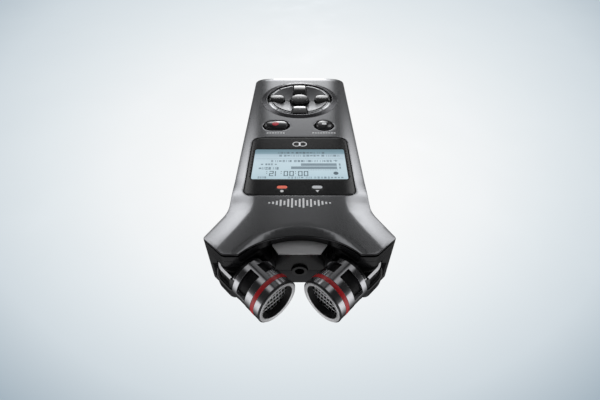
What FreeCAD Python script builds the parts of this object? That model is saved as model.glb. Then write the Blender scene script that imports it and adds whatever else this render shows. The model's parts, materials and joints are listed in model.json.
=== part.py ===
import FreeCAD, Part
import math
import os

from FreeCAD import Vector

# Portable two-microphone field recorder, lying on its back. Millimetres.
# +Z is the face normal, +Y runs from the microphones to the foot end, and +X is to the
# right when the foot end is away from the viewer. The saved pieces have their origin at
# the mouth of the tripod socket, in the plane of the back. In this file y is laid out
# from a line just inside the foot end; save() moves each piece by SHIFT.

# ---- case ---------------------------------------------------------------------------
SOCKET_Y = -84.0        # tripod socket axis
SHIFT = -SOCKET_Y
HALF_W = 27.7           # half width of the straight part
FOOT_Y = 2.4            # foot end of the case
SHOULDER_X = 34.9       # theoretical corner of the shoulder
SHOULDER_Y = -131.4
MIC_END_Y = -139.2      # edge of the shoulders at the microphone end
ARCH_R = 28.0           # arch between the shoulders
ARCH_Y = -157.7
NOSE_Y = -135.7         # end wall of the nose between the microphones
CAVITY_Y = -112.4       # microphone end of the main cavity
REAR_END_Y = -114.2     # microphone end of the plain part of both covers
FACE_Z = 25.0
PANEL_UNDER_Z = 23.2    # underside of the face panel
EDGE_Z = 24.0           # face panel height at the outer edge of its side slopes
COLLAR_Z = 20.8         # underside of the front cover over the microphone end
CAVITY_TOP_Z = 21.9
SPLIT_Z = 10.8          # parting plane of the case halves
REAR_TOP_Z = SPLIT_Z - 0.1
WALL = 1.8
FLOOR = 1.8
ABOVE = 30              # cutters run up to here, clear of the case
BELOW = -1              # and down to here

# ---- microphone pivots --------------------------------------------------------------
PIVOT_X = 23.15
PIVOT_Y = -134.7
PIVOT_R = 2.5
PIVOT_CLEAR = 0.05      # running clearance of the arm on its pin
LUG_TOP_LO = 17.0       # underside of the upper pivot lug
LUG_LOW_HI = 4.2        # top of the lower pivot lug
ARM_R = 8.1             # half width of the arm base
ARM_LEN = 7.6           # pivot axis to the square end of the arm base
ARM_GAP = 0.35          # room around the arm base
SWING_R = 12.7          # reach of the room swept by the arm base

# ---- face: display, lights, buttons and control pad ---------------------------------
WINDOW_X = 23.0         # half width of the display window
WINDOW_Y = (-109.4, -67.0)
LCD_X = 20.5            # half width of the visible area
LCD_Y = (-99.3, -77.0)
LIGHT_X = 7.3
LIGHT_Y = -104.1
BUTTON_Y = -55.7        # record and stop buttons
REC_X = -12.1
REC_HALF = (6.1, 4.1)
STOP_X = 12.7
STOP_R = 4.35
BUTTON_TOP_Z = 25.9
KEY_BASE_Z = 21.4       # lower end of all keys and buttons
PAD_Y = -26.6           # centre of the control pad
PAD_BORE_R = 19.6       # hole in the face panel and front cover
BEZEL_RO = 21.9
BEZEL_RI = 18.8
RING_RO = 18.2
RING_RI = 16.1
KEY_REACH = 13.2        # pad centre to the domes under the four outer keys
KEY_TOP_Z = 25.75

# ---- sides and nose: sockets and controls -------------------------------------------
JACK_Z = 11.2           # axis height of both 3.5 mm sockets
JACK_R = 1.8
JACK_HOLE_R = 3.15
PHONES_Y = -74.0        # left side
HOLD_Y = -94.0          # left side
USB_Y = -73.5           # right side
CARD_Y = -92.0          # right side
CARD_PIN_Z = 5.2        # hinge pin of the card cover
CARD_PIN_X = 27.0
LEVEL_Y = (-37.0, -47.0)  # level up and level down buttons, right side
LEVEL_Z = 15.4

# ---- back: screws, battery door, cells, speaker -------------------------------------
# Screw positions (x, y), all driven from the back
COVER_SCREWS = [(-21.6, -7.2), (21.6, -7.2), (-21.6, -62.6), (21.6, -62.6)]
FRAME_SCREWS = [(-18.0, -119.5), (18.0, -119.5)]
CASE_SCREWS = COVER_SCREWS + FRAME_SCREWS
BOARD_SCREWS = [(-20.5, -69.0), (20.5, -69.0)]
THREAD_HOLE_R = 1.02
DOOR_X = 17.0           # half width of the door's outer plate
DOOR_LIP_X = 18.0       # half width of the layer that runs in the rails
DOOR_Y = -61.0
DOOR_GAP = 0.1
CELL_X = 7.4
CELL_Z = 9.2
CELL_L = 49.0           # AA cell without its button
CELL_BUTTON_L = 1.2
CELL_GAP = 0.02
PLATE_T = 0.4
PLATE_FAR_Y = -3.5      # contact plate faces
PLATE_NEAR_Y = -59.95
# The left cell's button points to the foot end, the right one's to the microphones
LEFT_BUTTON_Y = PLATE_FAR_Y - CELL_GAP - CELL_BUTTON_L
LEFT_CELL_Y = LEFT_BUTTON_Y - CELL_L
RIGHT_BUTTON_Y = PLATE_NEAR_Y + CELL_GAP
RIGHT_CELL_Y = RIGHT_BUTTON_Y + CELL_BUTTON_L
SPEAKER_Y = -103.5
SOCKET_R = 2.6          # 1/4-20 UNC
SOCKET_LEN = 6.5
INSERT_R = 4.7
INSERT_H = 8.0

SIDES = (-1, 1)         # left, right
X_AXIS = Vector(1, 0, 0)
Y_AXIS = Vector(0, 1, 0)
Z_AXIS = Vector(0, 0, 1)
ORIGIN = Vector(0, 0, 0)

OUT = "parts"
os.makedirs("parts", exist_ok=True)


# ---- helpers ------------------------------------------------------------------------
def box(x0, y0, z0, x1, y1, z1):
    return Part.makeBox(x1 - x0, y1 - y0, z1 - z0, Vector(x0, y0, z0))


def rod(radius, x, y, z, length, axis):
    return Part.makeCylinder(radius, length, Vector(x, y, z), axis)


def post(radius, x, y, z0, z1):
    return rod(radius, x, y, z0, z1 - z0, Z_AXIS)


def line(start, end):
    return Part.LineSegment(start, end).toShape()


def arc(start, middle, end):
    return Part.Arc(start, middle, end).toShape()


def rounded_wire(corners):
    """Closed wire at z 0 through (x, y, radius) corners, each rounded by its radius."""
    count = len(corners)
    turns = []  # start, end and middle of each corner arc; middle None if sharp
    for i, (x, y, radius) in enumerate(corners):
        corner = Vector(x, y, 0)
        if radius <= 0:
            turns.append((corner, corner, None))
            continue
        back = Vector(*corners[i - 1][:2], 0) - corner
        ahead = Vector(*corners[(i + 1) % count][:2], 0) - corner
        back.normalize()
        ahead.normalize()
        half = back.getAngle(ahead) / 2
        tangent = radius / math.tan(half)
        inward = back + ahead
        inward.normalize()
        middle = corner + inward * (radius / math.sin(half) - radius)
        turns.append((corner + back * tangent, corner + ahead * tangent, middle))
    edges = []
    for i, (start, end, middle) in enumerate(turns):
        if middle is not None:
            edges.append(arc(start, middle, end))
        following = turns[(i + 1) % count][0]
        if (following - end).Length > 1e-6:
            edges.append(line(end, following))
    return Part.Wire(edges)


def mirrored(right):
    """Close a list of right-hand (x, y, radius) corners with their mirror images."""
    return right + [(-x, y, radius) for x, y, radius in reversed(right)]


def prism(corners, z0, z1):
    wire = rounded_wire(corners)
    wire.translate(Vector(0, 0, z0))
    return Part.Face(wire).extrude(Vector(0, 0, z1 - z0))


def rounded_box(x0, y0, x1, y1, radius, z0, z1):
    corners = [(x0, y0, radius), (x1, y0, radius), (x1, y1, radius), (x0, y1, radius)]
    return prism(corners, z0, z1)


def pad(x, y, half_x, half_y, radius, z0, z1):
    """Rounded box centred on x, y."""
    return rounded_box(x - half_x, y - half_y, x + half_x, y + half_y, radius, z0, z1)


def ring(outer, inner, x, y, z0, z1):
    return post(outer, x, y, z0, z1).cut(post(inner, x, y, z0 - 1, z1 + 1))


def polygon(points):
    return Part.makePolygon(points + points[:1])


def revolve(points, axis):
    return Part.Face(polygon(points)).revolve(ORIGIN, axis, 360)


def fillet(shape, radius, pick):
    """Fillet the edges whose bounding boxes pick() accepts."""
    edges = [edge for edge in shape.Edges if pick(edge.BoundBox)]
    for scale in (1.0, 0.7, 0.45):
        # Guards a fillet that cannot be built: try a smaller one, then leave it sharp
        try:
            result = shape.makeFillet(radius * scale, edges)
            if result.isValid() and result.Volume > 0:
                return result
        except Exception:
            pass
    return shape


def is_flat(bounds, z):
    return abs(bounds.ZMin - z) < 1e-3 and abs(bounds.ZMax - z) < 1e-3


def fillet_level(shape, radius, z):
    """Fillet every edge that lies at height z."""
    return fillet(shape, radius, lambda bounds: is_flat(bounds, z))


def face_right(shape, x, y, z):
    """Turn a piece drawn along +Z to point along +X, its plan x along y, and place it."""
    shape.rotate(ORIGIN, Z_AXIS, 90)
    shape.rotate(ORIGIN, Y_AXIS, 90)
    shape.translate(Vector(x, y, z))
    return shape


def save(name, shape):
    piece = shape.copy()
    piece.translate(Vector(0, SHIFT, 0))
    refined = piece.removeSplitter()
    if refined.isValid():
        piece = refined
    solids = piece.Solids
    piece = solids[0] if len(solids) == 1 else Part.makeCompound(solids)
    piece.exportStep(os.path.join(OUT, name + ".step"))


# ---- shared case shapes -------------------------------------------------------------
def case_corners(inset=0.0):
    """Right-hand corners of the plan; inset moves the walls inwards roughly evenly."""
    return [
        (HALF_W - inset, FOOT_Y - inset, max(5.7 - inset, 1.0)),
        (HALF_W - inset, -118.1 + 0.2 * inset, 14.0),
        (SHOULDER_X - 1.25 * inset, SHOULDER_Y + 0.4 * inset, 1.3),
        (26.7 - 0.35 * inset, MIC_END_Y + inset, 3.0),
    ]


def case_solid(z0, z1, inset=0.0, arch=True):
    face = Part.Face(rounded_wire(mirrored(case_corners(inset))))
    if arch:
        circle = Part.makeCircle(ARCH_R, Vector(0, ARCH_Y, 0))
        face = face.cut(Part.Face(Part.Wire(circle))).Faces[0]
    face.translate(Vector(0, 0, z0))
    return face.extrude(Vector(0, 0, z1 - z0))


def mic_end_region(y, z0, z1):
    """Everything on the microphone side of y."""
    return box(-60, -170, z0, 60, y, z1)


def cavity(z0, z1):
    return case_solid(z0, z1, WALL, False).common(box(-60, CAVITY_Y, 0, 60, 20, 30))


def lug_solid(z0, z1):
    """Pivot lug layer: outer line as the case, inner facet running back to the nose."""
    inner = [(19.6, MIC_END_Y, 1.2), (11.2, -130.8, 0.8), (9.5, -127.6, 0)]
    return prism(mirrored(case_corners() + inner), z0, z1)


def nose_block(z0, z1):
    """Nose between the microphones, lofted from its end profile to a wider section."""
    profile = [(7.6, 20.9), (9.2, 16.0), (9.2, 10.0), (7.4, 5.0), (4.6, 2.2)]  # x, z

    def section(y, grow):
        right = [(x + grow, z) for x, z in profile]
        points = right + [(-x, z) for x, z in reversed(right)]
        return polygon([Vector(x, y, z) for x, z in points])

    def on_end_wall(bounds):
        return (abs(bounds.YMin - NOSE_Y) < 1e-3 and abs(bounds.YMax - NOSE_Y) < 1e-3
                and bounds.ZMax < 20.0)

    nose = Part.makeLoft([section(NOSE_Y, 0.0), section(-127.0, 1.6)], True, True)
    nose = fillet(nose, 0.6, on_end_wall)
    return nose.common(box(-20, -150, z0, 20, -120, z1))


def arm_space(side):
    """Room swept by one arm between the pivot lugs."""
    x = side * PIVOT_X
    reach = ARM_R + ARM_GAP
    space = post(reach, x, PIVOT_Y, LUG_LOW_HI, LUG_TOP_LO)
    swing = post(SWING_R, x, PIVOT_Y, LUG_LOW_HI, LUG_TOP_LO)
    space = space.fuse(swing.common(box(x - 20, -160, 0, x + 20, -132.7, 30)))
    # the square end of the arm base at both ends of its swing
    for angle in (-45, -135):
        end = box(0, -reach, LUG_LOW_HI, ARM_LEN + ARM_GAP, reach, 11.3)
        end.rotate(ORIGIN, Z_AXIS, angle)
        end.translate(Vector(-PIVOT_X, PIVOT_Y, 0))
        if side > 0:
            end = end.mirror(ORIGIN, X_AXIS)
        space = space.fuse(end.common(post(SWING_R, x, PIVOT_Y, 0, 30)))
    return space


def mic_space(side, z0, z1):
    """Open space around a microphone, beyond the pivot axis and clear of the nose."""
    space = post(20, side * PIVOT_X, PIVOT_Y, z0, z1)
    return space.common(mic_end_region(PIVOT_Y, 0, 40)).cut(nose_block(0, 30))


def mic_jack_hole():
    return rod(JACK_HOLE_R, 0, NOSE_Y - 1.2, JACK_Z, 14.6, Y_AXIS)


def phones_hole():
    return rod(JACK_HOLE_R, -30, PHONES_Y, JACK_Z, 5.0, X_AXIS)


# ---- face panel, front cover, pivot frame, nose trim --------------------------------
# Stations along the panel: y, half width of the flat face, half width at the outer edge
PANEL_STATIONS = [
    (6.0, 20.6, 27.7), (-40.0, 20.6, 27.7), (-80.0, 20.4, 27.7), (-100.0, 19.4, 27.7),
    (-108.0, 18.5, 27.7), (-113.8, 18.2, 27.7), (-118.2, 19.0, 28.2), (-125.2, 22.4, 31.5),
    (-132.7, 26.6, 35.4), (-136.9, 28.9, 36.9), (-141.0, 31.1, 38.4),
]


def crown_section(y, flat, outer):
    """Section with a flat top and side slopes that pass through EDGE_Z at outer."""
    slope = (FACE_Z - EDGE_Z) / (outer - flat)
    side_x = 40.0
    side_z = max(FACE_Z - slope * (side_x - flat), PANEL_UNDER_Z - 3.0)
    base_z = 15.0
    return polygon([
        Vector(-side_x, y, base_z), Vector(-side_x, y, side_z), Vector(-flat, y, FACE_Z),
        Vector(flat, y, FACE_Z), Vector(side_x, y, side_z), Vector(side_x, y, base_z),
    ])


def face_panel():
    crown = Part.makeLoft([crown_section(*row) for row in PANEL_STATIONS], True, True)
    panel = case_solid(PANEL_UNDER_Z, FACE_Z).common(crown)
    # shallow crescent along the arch
    upper = Part.Wire(Part.makeCircle(24.5, Vector(0, -147.2, FACE_Z + 1.6)))
    lower = Part.Wire(Part.makeCircle(28.1, Vector(0, -157.4, FACE_Z - 1.6)))
    panel = panel.cut(Part.makeLoft([upper, lower], True, True))
    # round the upper edge at the foot end
    panel = fillet(panel, 0.9, lambda bounds: bounds.ZMin > FACE_Z - 1.9
                   and bounds.YMin > FOOT_Y - 1.5 and bounds.XLength > 15)
    gap = 0.25
    low, high = WINDOW_Y
    panel = panel.cut(rounded_box(-WINDOW_X - gap, low - gap, WINDOW_X + gap, high + gap,
                                  3.6, 20, ABOVE))
    half_x, half_y = REC_HALF
    panel = panel.cut(pad(REC_X, BUTTON_Y, half_x + 0.8, half_y + 0.8, 4.85, 20, ABOVE))
    panel = panel.cut(post(5.0, STOP_X, BUTTON_Y, 20, ABOVE))
    return panel.cut(post(PAD_BORE_R, 0, PAD_Y, 20, ABOVE))


def front_cover():
    """Shell under the face panel."""
    cover = case_solid(SPLIT_Z, PANEL_UNDER_Z)
    cover = cover.cut(mic_end_region(REAR_END_Y, 0, COLLAR_Z))
    cover = cover.cut(cavity(0, CAVITY_TOP_Z))
    margin = 1.2
    cover = cover.cut(rounded_box(-LCD_X - margin, LCD_Y[0] - margin, LCD_X + margin,
                                  LCD_Y[1] + margin, 1.0, 15, ABOVE))
    half_x, half_y = REC_HALF
    cover = cover.cut(pad(REC_X, BUTTON_Y, half_x + 0.3, half_y + 0.3, 4.3, 15, ABOVE))
    cover = cover.cut(post(4.7, STOP_X, BUTTON_Y, 15, ABOVE))
    cover = cover.cut(post(PAD_BORE_R, 0, PAD_Y, 15, ABOVE))
    for side in SIDES:
        cover = cover.cut(pad(side * LIGHT_X, LIGHT_Y, 2.4, 1.2, 1.15, 15, ABOVE))
    for x, y in COVER_SCREWS:
        cover = cover.fuse(post(2.6, x, y, SPLIT_Z, 21.95))
        cover = cover.cut(post(THREAD_HOLE_R, x, y, SPLIT_Z - 1, SPLIT_Z + 5.5))
    cover = cover.common(case_solid(0, 30))
    cover = cover.cut(phones_hole())
    cover = cover.cut(box(-30, HOLD_Y - 4.2, 12.6, -25, HOLD_Y + 4.2, 15.6))
    for y in LEVEL_Y:
        slot = pad(0, 0, 3.7, 1.7, 1.65, 0, 6)
        cover = cover.cut(face_right(slot, 24.5, y, LEVEL_Z))
    return cover


def pivot_frame():
    """Layer that holds the arm pivots from above."""
    frame = lug_solid(SPLIT_Z, COLLAR_Z - 0.15)
    frame = frame.common(mic_end_region(REAR_END_Y - 0.1, 0, 30))
    frame = frame.fuse(nose_block(SPLIT_Z, 20.15))
    for side in SIDES:
        frame = frame.cut(arm_space(side))
        frame = frame.cut(mic_space(side, 0, LUG_TOP_LO))
        frame = frame.cut(post(PIVOT_R, side * PIVOT_X, PIVOT_Y, 10, 19))
    frame = frame.cut(box(-14.0, -126.5, 0, 14.0, -113.0, 18.6))
    frame = frame.cut(mic_jack_hole())
    for x, y in FRAME_SCREWS:
        frame = frame.cut(post(THREAD_HOLE_R, x, y, 9, 15.5))
    # long lower edges of the upper lugs
    return fillet(frame, 0.35, lambda bounds: is_flat(bounds, LUG_TOP_LO)
                  and bounds.YMax < -134 and bounds.XLength > 3)


def nose_trim():
    right = [(7.6, NOSE_Y, 0), (11.4, -129.5, 0), (11.4, -126, 0)]
    trim = prism(mirrored(right), 20.2, 20.9)
    return trim.common(post(ARCH_R - 0.08, 0, ARCH_Y, 0, 30))


# ---- rear cover and battery door ----------------------------------------------------
# Half lengths of the sound slots, from the middle slot outwards
SOUND_SLOT_HALF = (7.5, 7.5, 6.2, 4.0)


def rear_shell():
    """Outer form and cavities of the rear cover, with the pivot lugs and nose."""
    cover = case_solid(0, REAR_TOP_Z).cut(mic_end_region(REAR_END_Y, -1, 40))
    lugs = lug_solid(0, REAR_TOP_Z).common(mic_end_region(REAR_END_Y, 0, 30))
    cover = cover.fuse(lugs.fuse(nose_block(2.2, REAR_TOP_Z)))
    cover = fillet(cover, 1.2, lambda bounds: is_flat(bounds, 0) and bounds.YMax > -100)
    for side in SIDES:
        cover = cover.cut(arm_space(side))
        cover = cover.cut(mic_space(side, LUG_LOW_HI, LUG_LOW_HI + 20))
        cover = cover.cut(post(PIVOT_R, side * PIVOT_X, PIVOT_Y, 2.0, 12))
    cover = cover.cut(cavity(FLOOR, 30))
    return cover.cut(box(-14.0, -126.5, FLOOR, 14.0, -112.0, 30))


def rear_cover():
    cover = rear_shell()
    # battery bay walls
    bay_x, bay_y0, bay_y1 = 15.2, -60.4, -3.0
    bay = box(-16.6, -61.9, 0.8, 16.6, -1.5, REAR_TOP_Z)
    cover = cover.fuse(bay.cut(box(-bay_x, bay_y0, 0, bay_x, bay_y1, 30)))
    cover = cover.cut(box(-bay_x, bay_y0, -1, bay_x, bay_y1, 30))
    # door opening and its rails
    plate_x = DOOR_X + DOOR_GAP
    lip_x = DOOR_LIP_X + DOOR_GAP
    end_y = DOOR_Y - 0.15
    cover = cover.cut(box(-plate_x, end_y, -1, plate_x, 5, 0.8))
    cover = cover.cut(box(-lip_x, end_y, 0.75, lip_x, 5, 1.7))
    # tripod boss, speaker seat, sound slots
    cover = cover.fuse(post(6.6, 0, SOCKET_Y, 0, 9.2))
    cover = cover.cut(post(INSERT_R + 0.05, 0, SOCKET_Y, BELOW, INSERT_H + 0.1))
    cover = cover.fuse(ring(11.4, 10.15, 0, SPEAKER_Y, 1.0, 5.0))
    for i in range(-3, 4):
        y = SPEAKER_Y + 2.1 * i
        cover = cover.cut(pad(0, y, SOUND_SLOT_HALF[abs(i)], 0.5, 0.49, BELOW, FLOOR + 0.2))
    cover = cover.cut(mic_jack_hole())
    # case screw bosses, clearance holes and counterbores
    for x, y in CASE_SCREWS:
        if (x, y) in COVER_SCREWS:
            cover = cover.fuse(post(3.0, x, y, 0.5, REAR_TOP_Z))
        cover = cover.cut(post(1.05, x, y, BELOW, 19))
        cover = cover.cut(post(2.1, x, y, BELOW, 2.2))
    for x, y in BOARD_SCREWS:
        cover = cover.fuse(post(2.2, x, y, 1.0, 6.2))
        cover = cover.cut(post(0.82, x, y, 2.5, 12.5))
    # side openings: phones socket, USB socket, card slot, recess and hinge of its cover
    cover = cover.cut(phones_hole())
    cover = cover.cut(face_right(pad(0, 0, 4.1, 1.55, 0.8, 0, 6), 24.5, USB_Y, 7.6))
    cover = cover.cut(box(25, CARD_Y - 6.4, 6.4, 30, CARD_Y + 6.4, 9.4))
    cover = cover.cut(box(26.3, CARD_Y - 7.6, 4.7, 30, CARD_Y + 7.6, 10.2))
    return cover.cut(rod(0.65, CARD_PIN_X, CARD_Y - 8.4, CARD_PIN_Z, 16.8, Y_AXIS))


def battery_door():
    door = box(-DOOR_X, DOOR_Y, 0, DOOR_X, FOOT_Y, 0.75)
    door = door.fuse(box(-DOOR_LIP_X, DOOR_Y, 0.85, DOOR_LIP_X, FOOT_Y, 1.6))
    door = door.fuse(box(-DOOR_X, DOOR_Y, 0.7, DOOR_X, FOOT_Y, 0.9))
    door = door.common(case_solid(-1, 5, arch=False))
    # five grooves across the outside near the foot end
    for i in range(5):
        door = door.cut(pad(0, -9.0 - 2.0 * i, 6.0, 0.5, 0.45, BELOW, 0.4))
    return door


# ---- batteries, contacts and springs ------------------------------------------------
def batteries():
    cells = []
    for x, cell_y, button_y in ((-CELL_X, LEFT_CELL_Y, LEFT_BUTTON_Y),
                                (CELL_X, RIGHT_CELL_Y, RIGHT_BUTTON_Y)):
        cell = rod(7.1, x, cell_y, CELL_Z, CELL_L, Y_AXIS)
        cell = fillet(cell, 0.5, lambda bounds: abs(bounds.YLength) < 1e-3)
        cells.append(cell.fuse(rod(2.7, x, button_y, CELL_Z, CELL_BUTTON_L, Y_AXIS)))
    return Part.makeCompound(cells)


def battery_contacts():
    return Part.makeCompound([
        box(x - 5.2, y, 3.6, x + 5.2, y + PLATE_T, 14.6)
        for y in (PLATE_FAR_Y, PLATE_NEAR_Y - PLATE_T) for x in (-CELL_X, CELL_X)])


def leaf_spring(x, plate_y, cell_y):
    """Bowed strip between a contact plate and the flat end of a cell."""
    width, thick, gap, foot = 5.0, 0.3, 0.03, 0.45
    toward = 1 if cell_y > plate_y else -1
    near = plate_y + toward * gap
    far = cell_y - toward * gap
    z0, z1 = 4.4, 14.0

    def at(y, z):
        return Vector(x - width / 2, y, z)

    strip = Part.Wire([
        arc(at(near, z0), at(far, CELL_Z), at(near, z1)),
        line(at(near, z1), at(near, z1 - foot)),
        arc(at(near, z1 - foot), at(far - toward * thick, CELL_Z), at(near, z0 + foot)),
        line(at(near, z0 + foot), at(near, z0)),
    ])
    return Part.Face(strip).extrude(Vector(width, 0, 0))


def battery_springs():
    return Part.makeCompound([
        leaf_spring(-CELL_X, PLATE_NEAR_Y, LEFT_CELL_Y),
        leaf_spring(CELL_X, PLATE_FAR_Y, RIGHT_CELL_Y + CELL_L)])


# ---- speaker, tripod insert, screws -------------------------------------------------
def speaker():
    top_z = 6.4
    body = post(10.0, 0, SPEAKER_Y, 2.2, 3.8).fuse(post(7.0, 0, SPEAKER_Y, 3.8, top_z))
    body = body.cut(post(8.6, 0, SPEAKER_Y, 2.0, 2.6))
    return fillet_level(body, 0.3, top_z)


def tripod_insert():
    insert = post(INSERT_R, 0, SOCKET_Y, 0, INSERT_H)
    return insert.cut(post(SOCKET_R, 0, SOCKET_Y, BELOW, SOCKET_LEN))


def board_screws():
    return Part.makeCompound([
        post(1.5, x, y, 10.6, 11.5).fuse(post(0.8, x, y, 5.0, 10.7))
        for x, y in BOARD_SCREWS])


def case_screws():
    screws = []
    long, thin = 1.2, 0.22  # half sizes of the cross recess
    for x, y in CASE_SCREWS:
        screw = post(1.9, x, y, 0.7, 2.1).fuse(post(1.0, x, y, 2.0, 15.0))
        screw = screw.cut(box(x - long, y - thin, 0, x + long, y + thin, 1.4))
        screw = screw.cut(box(x - thin, y - long, 0, x + thin, y + long, 1.4))
        screws.append(screw)
    return Part.makeCompound(screws)


# ---- boards -------------------------------------------------------------------------
# Chips on the main board: x, y, x size, y size, height
CHIPS = [
    (-8, -75, 9, 9, 1.4), (8, -90, 7, 7, 1.2), (-10, -96, 5, 6, 1.0),
    (12, -105, 5, 4, 1.1), (6, -72, 4, 5, 1.0),
]


def clear_screws(board, radius, screws):
    for x, y in screws:
        board = board.cut(post(radius, x, y, 0, 30))
    return board


def main_board():
    top_z = 10.6
    right = [(24.6, -63.9, 1), (24.6, -111.6, 1), (13.2, -111.6, 0.5), (13.2, -125.5, 0.5)]
    board = prism(mirrored(right), 9.6, top_z)
    board = clear_screws(board, 3.4, COVER_SCREWS[2:])
    # notches for the phones and microphone sockets
    board = board.cut(box(-30, PHONES_Y - 3.6, 0, -13.0, PHONES_Y + 3.6, 30))
    board = board.cut(box(-4.2, -127, 0, 4.2, -121.0, 30))
    board = clear_screws(board, 0.95, BOARD_SCREWS)
    for x, y, size_x, size_y, height in CHIPS:
        board = board.fuse(box(x - size_x / 2, y - size_y / 2, top_z - 0.05,
                               x + size_x / 2, y + size_y / 2, top_z + height))
    return board


def key_board():
    board = rounded_box(-22.5, -65.0, 22.5, -4.2, 1.5, 18.4, 19.4)
    return clear_screws(board, 3.2, COVER_SCREWS)


def keypad_membrane():
    sheet = rounded_box(-19.6, -62.5, 19.6, -5.0, 1.5, 19.4, 20.2)
    sheet = clear_screws(sheet, 3.4, COVER_SCREWS)
    domes = [(0, PAD_Y), (-KEY_REACH, PAD_Y), (KEY_REACH, PAD_Y),
             (0, PAD_Y + KEY_REACH), (0, PAD_Y - KEY_REACH)]
    domes += [(side * 7.9, PAD_Y + end * 7.9) for side in SIDES for end in (-1, 1)]
    domes += [(REC_X, BUTTON_Y), (STOP_X, BUTTON_Y)]
    for x, y in domes:
        sheet = sheet.fuse(Part.makeCone(2.2, 1.5, 0.75, Vector(x, y, 20.15), Z_AXIS))
    return sheet


# ---- display ------------------------------------------------------------------------
def display_window():
    top_z = 24.8
    window = rounded_box(-WINDOW_X, WINDOW_Y[0], WINDOW_X, WINDOW_Y[1], 3.4,
                         PANEL_UNDER_Z + 0.02, top_z)
    for side in SIDES:
        window = window.cut(pad(side * LIGHT_X, LIGHT_Y, 2.18, 0.93, 0.92, 20, ABOVE))
    return fillet_level(window, 0.25, top_z)


def lcd_module():
    body = rounded_box(-21.4, -100.6, 21.4, -75.6, 0.6, 18.6, 21.85)
    return body.fuse(box(-LCD_X, LCD_Y[0], 21.5, LCD_X, LCD_Y[1], 22.9))


def light(side):
    top_z = 24.82
    pipe = pad(side * LIGHT_X, LIGHT_Y, 2.15, 0.9, 0.9, 12.4, top_z)
    return fillet_level(pipe, 0.2, top_z)


# ---- control pad --------------------------------------------------------------------
def pad_bezel():
    profile = [  # radius, z
        (BEZEL_RI, 21.6), (19.5, 21.6), (19.5, 25.02), (BEZEL_RO, 25.02),
        (BEZEL_RO - 0.1, 25.15), (19.7, 25.8), (19.2, 25.85), (BEZEL_RI, 25.5),
    ]
    bezel = revolve([Vector(radius, 0, z) for radius, z in profile], Z_AXIS)
    bezel.translate(Vector(0, PAD_Y, 0))
    return bezel


def key_plans(grow=0.0):
    """Plan corners of the four outer keys, enlarged all round by grow."""
    half = 4.0 + grow

    def skip_key(side):
        inner = side * (8.8 - grow)
        outer = side * (17.6 + grow)
        return [(inner, PAD_Y - half, 3.6), (outer, PAD_Y - half, 0.6),
                (outer, PAD_Y + half, 0.6), (inner, PAD_Y + half, 3.6)]

    far_x = 3.8 + grow
    far_y0 = PAD_Y + 6.6 - grow
    far_y1 = PAD_Y + 17.8 + grow
    near_y0 = PAD_Y - 7.2 + grow
    near_y1 = PAD_Y - 17.6 - grow
    return {
        "skip_back_key": skip_key(-1),
        "skip_forward_key": skip_key(1),
        "minus_key": [(-far_x, far_y0, 1.0), (far_x, far_y0, 1.0),
                      (far_x, far_y1, 0.8), (-far_x, far_y1, 0.8)],
        "plus_key": [(-3.4 - grow, near_y0, 2.4), (3.4 + grow, near_y0, 2.4),
                     (4.35 + grow, near_y1, 0.6), (-4.35 - grow, near_y1, 0.6)],
    }


KEY_CHANNELS = key_plans(0.3).values()
# Centres of the posts under the outer keys: x, y
KEY_POSTS = {
    "skip_back_key": (-KEY_REACH, PAD_Y),
    "skip_forward_key": (KEY_REACH, PAD_Y),
    "minus_key": (0, PAD_Y + 12.4),
    "plus_key": (0, PAD_Y - 12.4),
}


def pad_ring():
    band = ring(RING_RO, RING_RI, 0, PAD_Y, 21.6, 25.2)
    for channel in KEY_CHANNELS:
        band = band.cut(prism(channel, 22.75, ABOVE))
    for angle in (45, 135, 225, 315):
        notch = box(RING_RI - 1, -0.35, 24.6, RING_RO + 1, 0.35, ABOVE)
        notch.rotate(ORIGIN, Z_AXIS, angle)
        notch.translate(Vector(0, PAD_Y, 0))
        band = band.cut(notch)
    return band


def corner_key(side, end):
    """Quarter of a dished disc between the outer keys; end is 1 towards the foot."""
    key = ring(15.85, 5.9, 0, PAD_Y, KEY_BASE_Z, 27)
    gap = 0.15
    x0, x1 = sorted((side * gap, side * 30))
    y0, y1 = sorted((PAD_Y + end * gap, PAD_Y + end * 30))
    key = key.common(box(x0, y0, 0, x1, y1, 30))
    for channel in KEY_CHANNELS:
        key = key.cut(prism(channel, 10, ABOVE))
    dish_r = 60.0
    key = key.cut(Part.makeSphere(dish_r, Vector(0, PAD_Y, 23.4 + dish_r)))
    largest = sorted(key.Solids, key=lambda solid: -solid.Volume)[0]
    return fillet(largest, 0.2, lambda bounds: bounds.ZMin > 23.0 and bounds.ZLength > 0.01)


def outer_key(name, plan):
    key = fillet_level(prism(plan, 23.3, KEY_TOP_Z), 0.8, KEY_TOP_Z)
    x, y = KEY_POSTS[name]
    return key.fuse(post(2.4, x, y, KEY_BASE_Z, KEY_BASE_Z + 2.2))


def play_key():
    top_z = 26.0
    return fillet_level(post(5.3, 0, PAD_Y, KEY_BASE_Z, top_z), 1.3, top_z)


def record_button():
    button = pad(REC_X, BUTTON_Y, *REC_HALF, 4.05, KEY_BASE_Z, BUTTON_TOP_Z)
    return fillet_level(button, 1.0, BUTTON_TOP_Z)


def stop_button():
    button = post(STOP_R, STOP_X, BUTTON_Y, KEY_BASE_Z, BUTTON_TOP_Z)
    return fillet_level(button, 1.0, BUTTON_TOP_Z)


# ---- side controls and sockets ------------------------------------------------------
def hold_switch():
    """Slider: knob, plate inside the wall, and a neck joining them."""
    knob_y = HOLD_Y - 2.4
    slider = box(-28.3, knob_y, 13.0, -25.75, HOLD_Y, 15.2)
    slider = slider.fuse(box(-25.65, HOLD_Y - 5.0, 12.0, -24.9, HOLD_Y + 2.0, 16.2))
    slider = slider.fuse(box(-25.8, knob_y, 13.0, -25.6, HOLD_Y, 15.2))
    return fillet(slider, 0.25, lambda bounds: bounds.XMax < -28.2)


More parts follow.
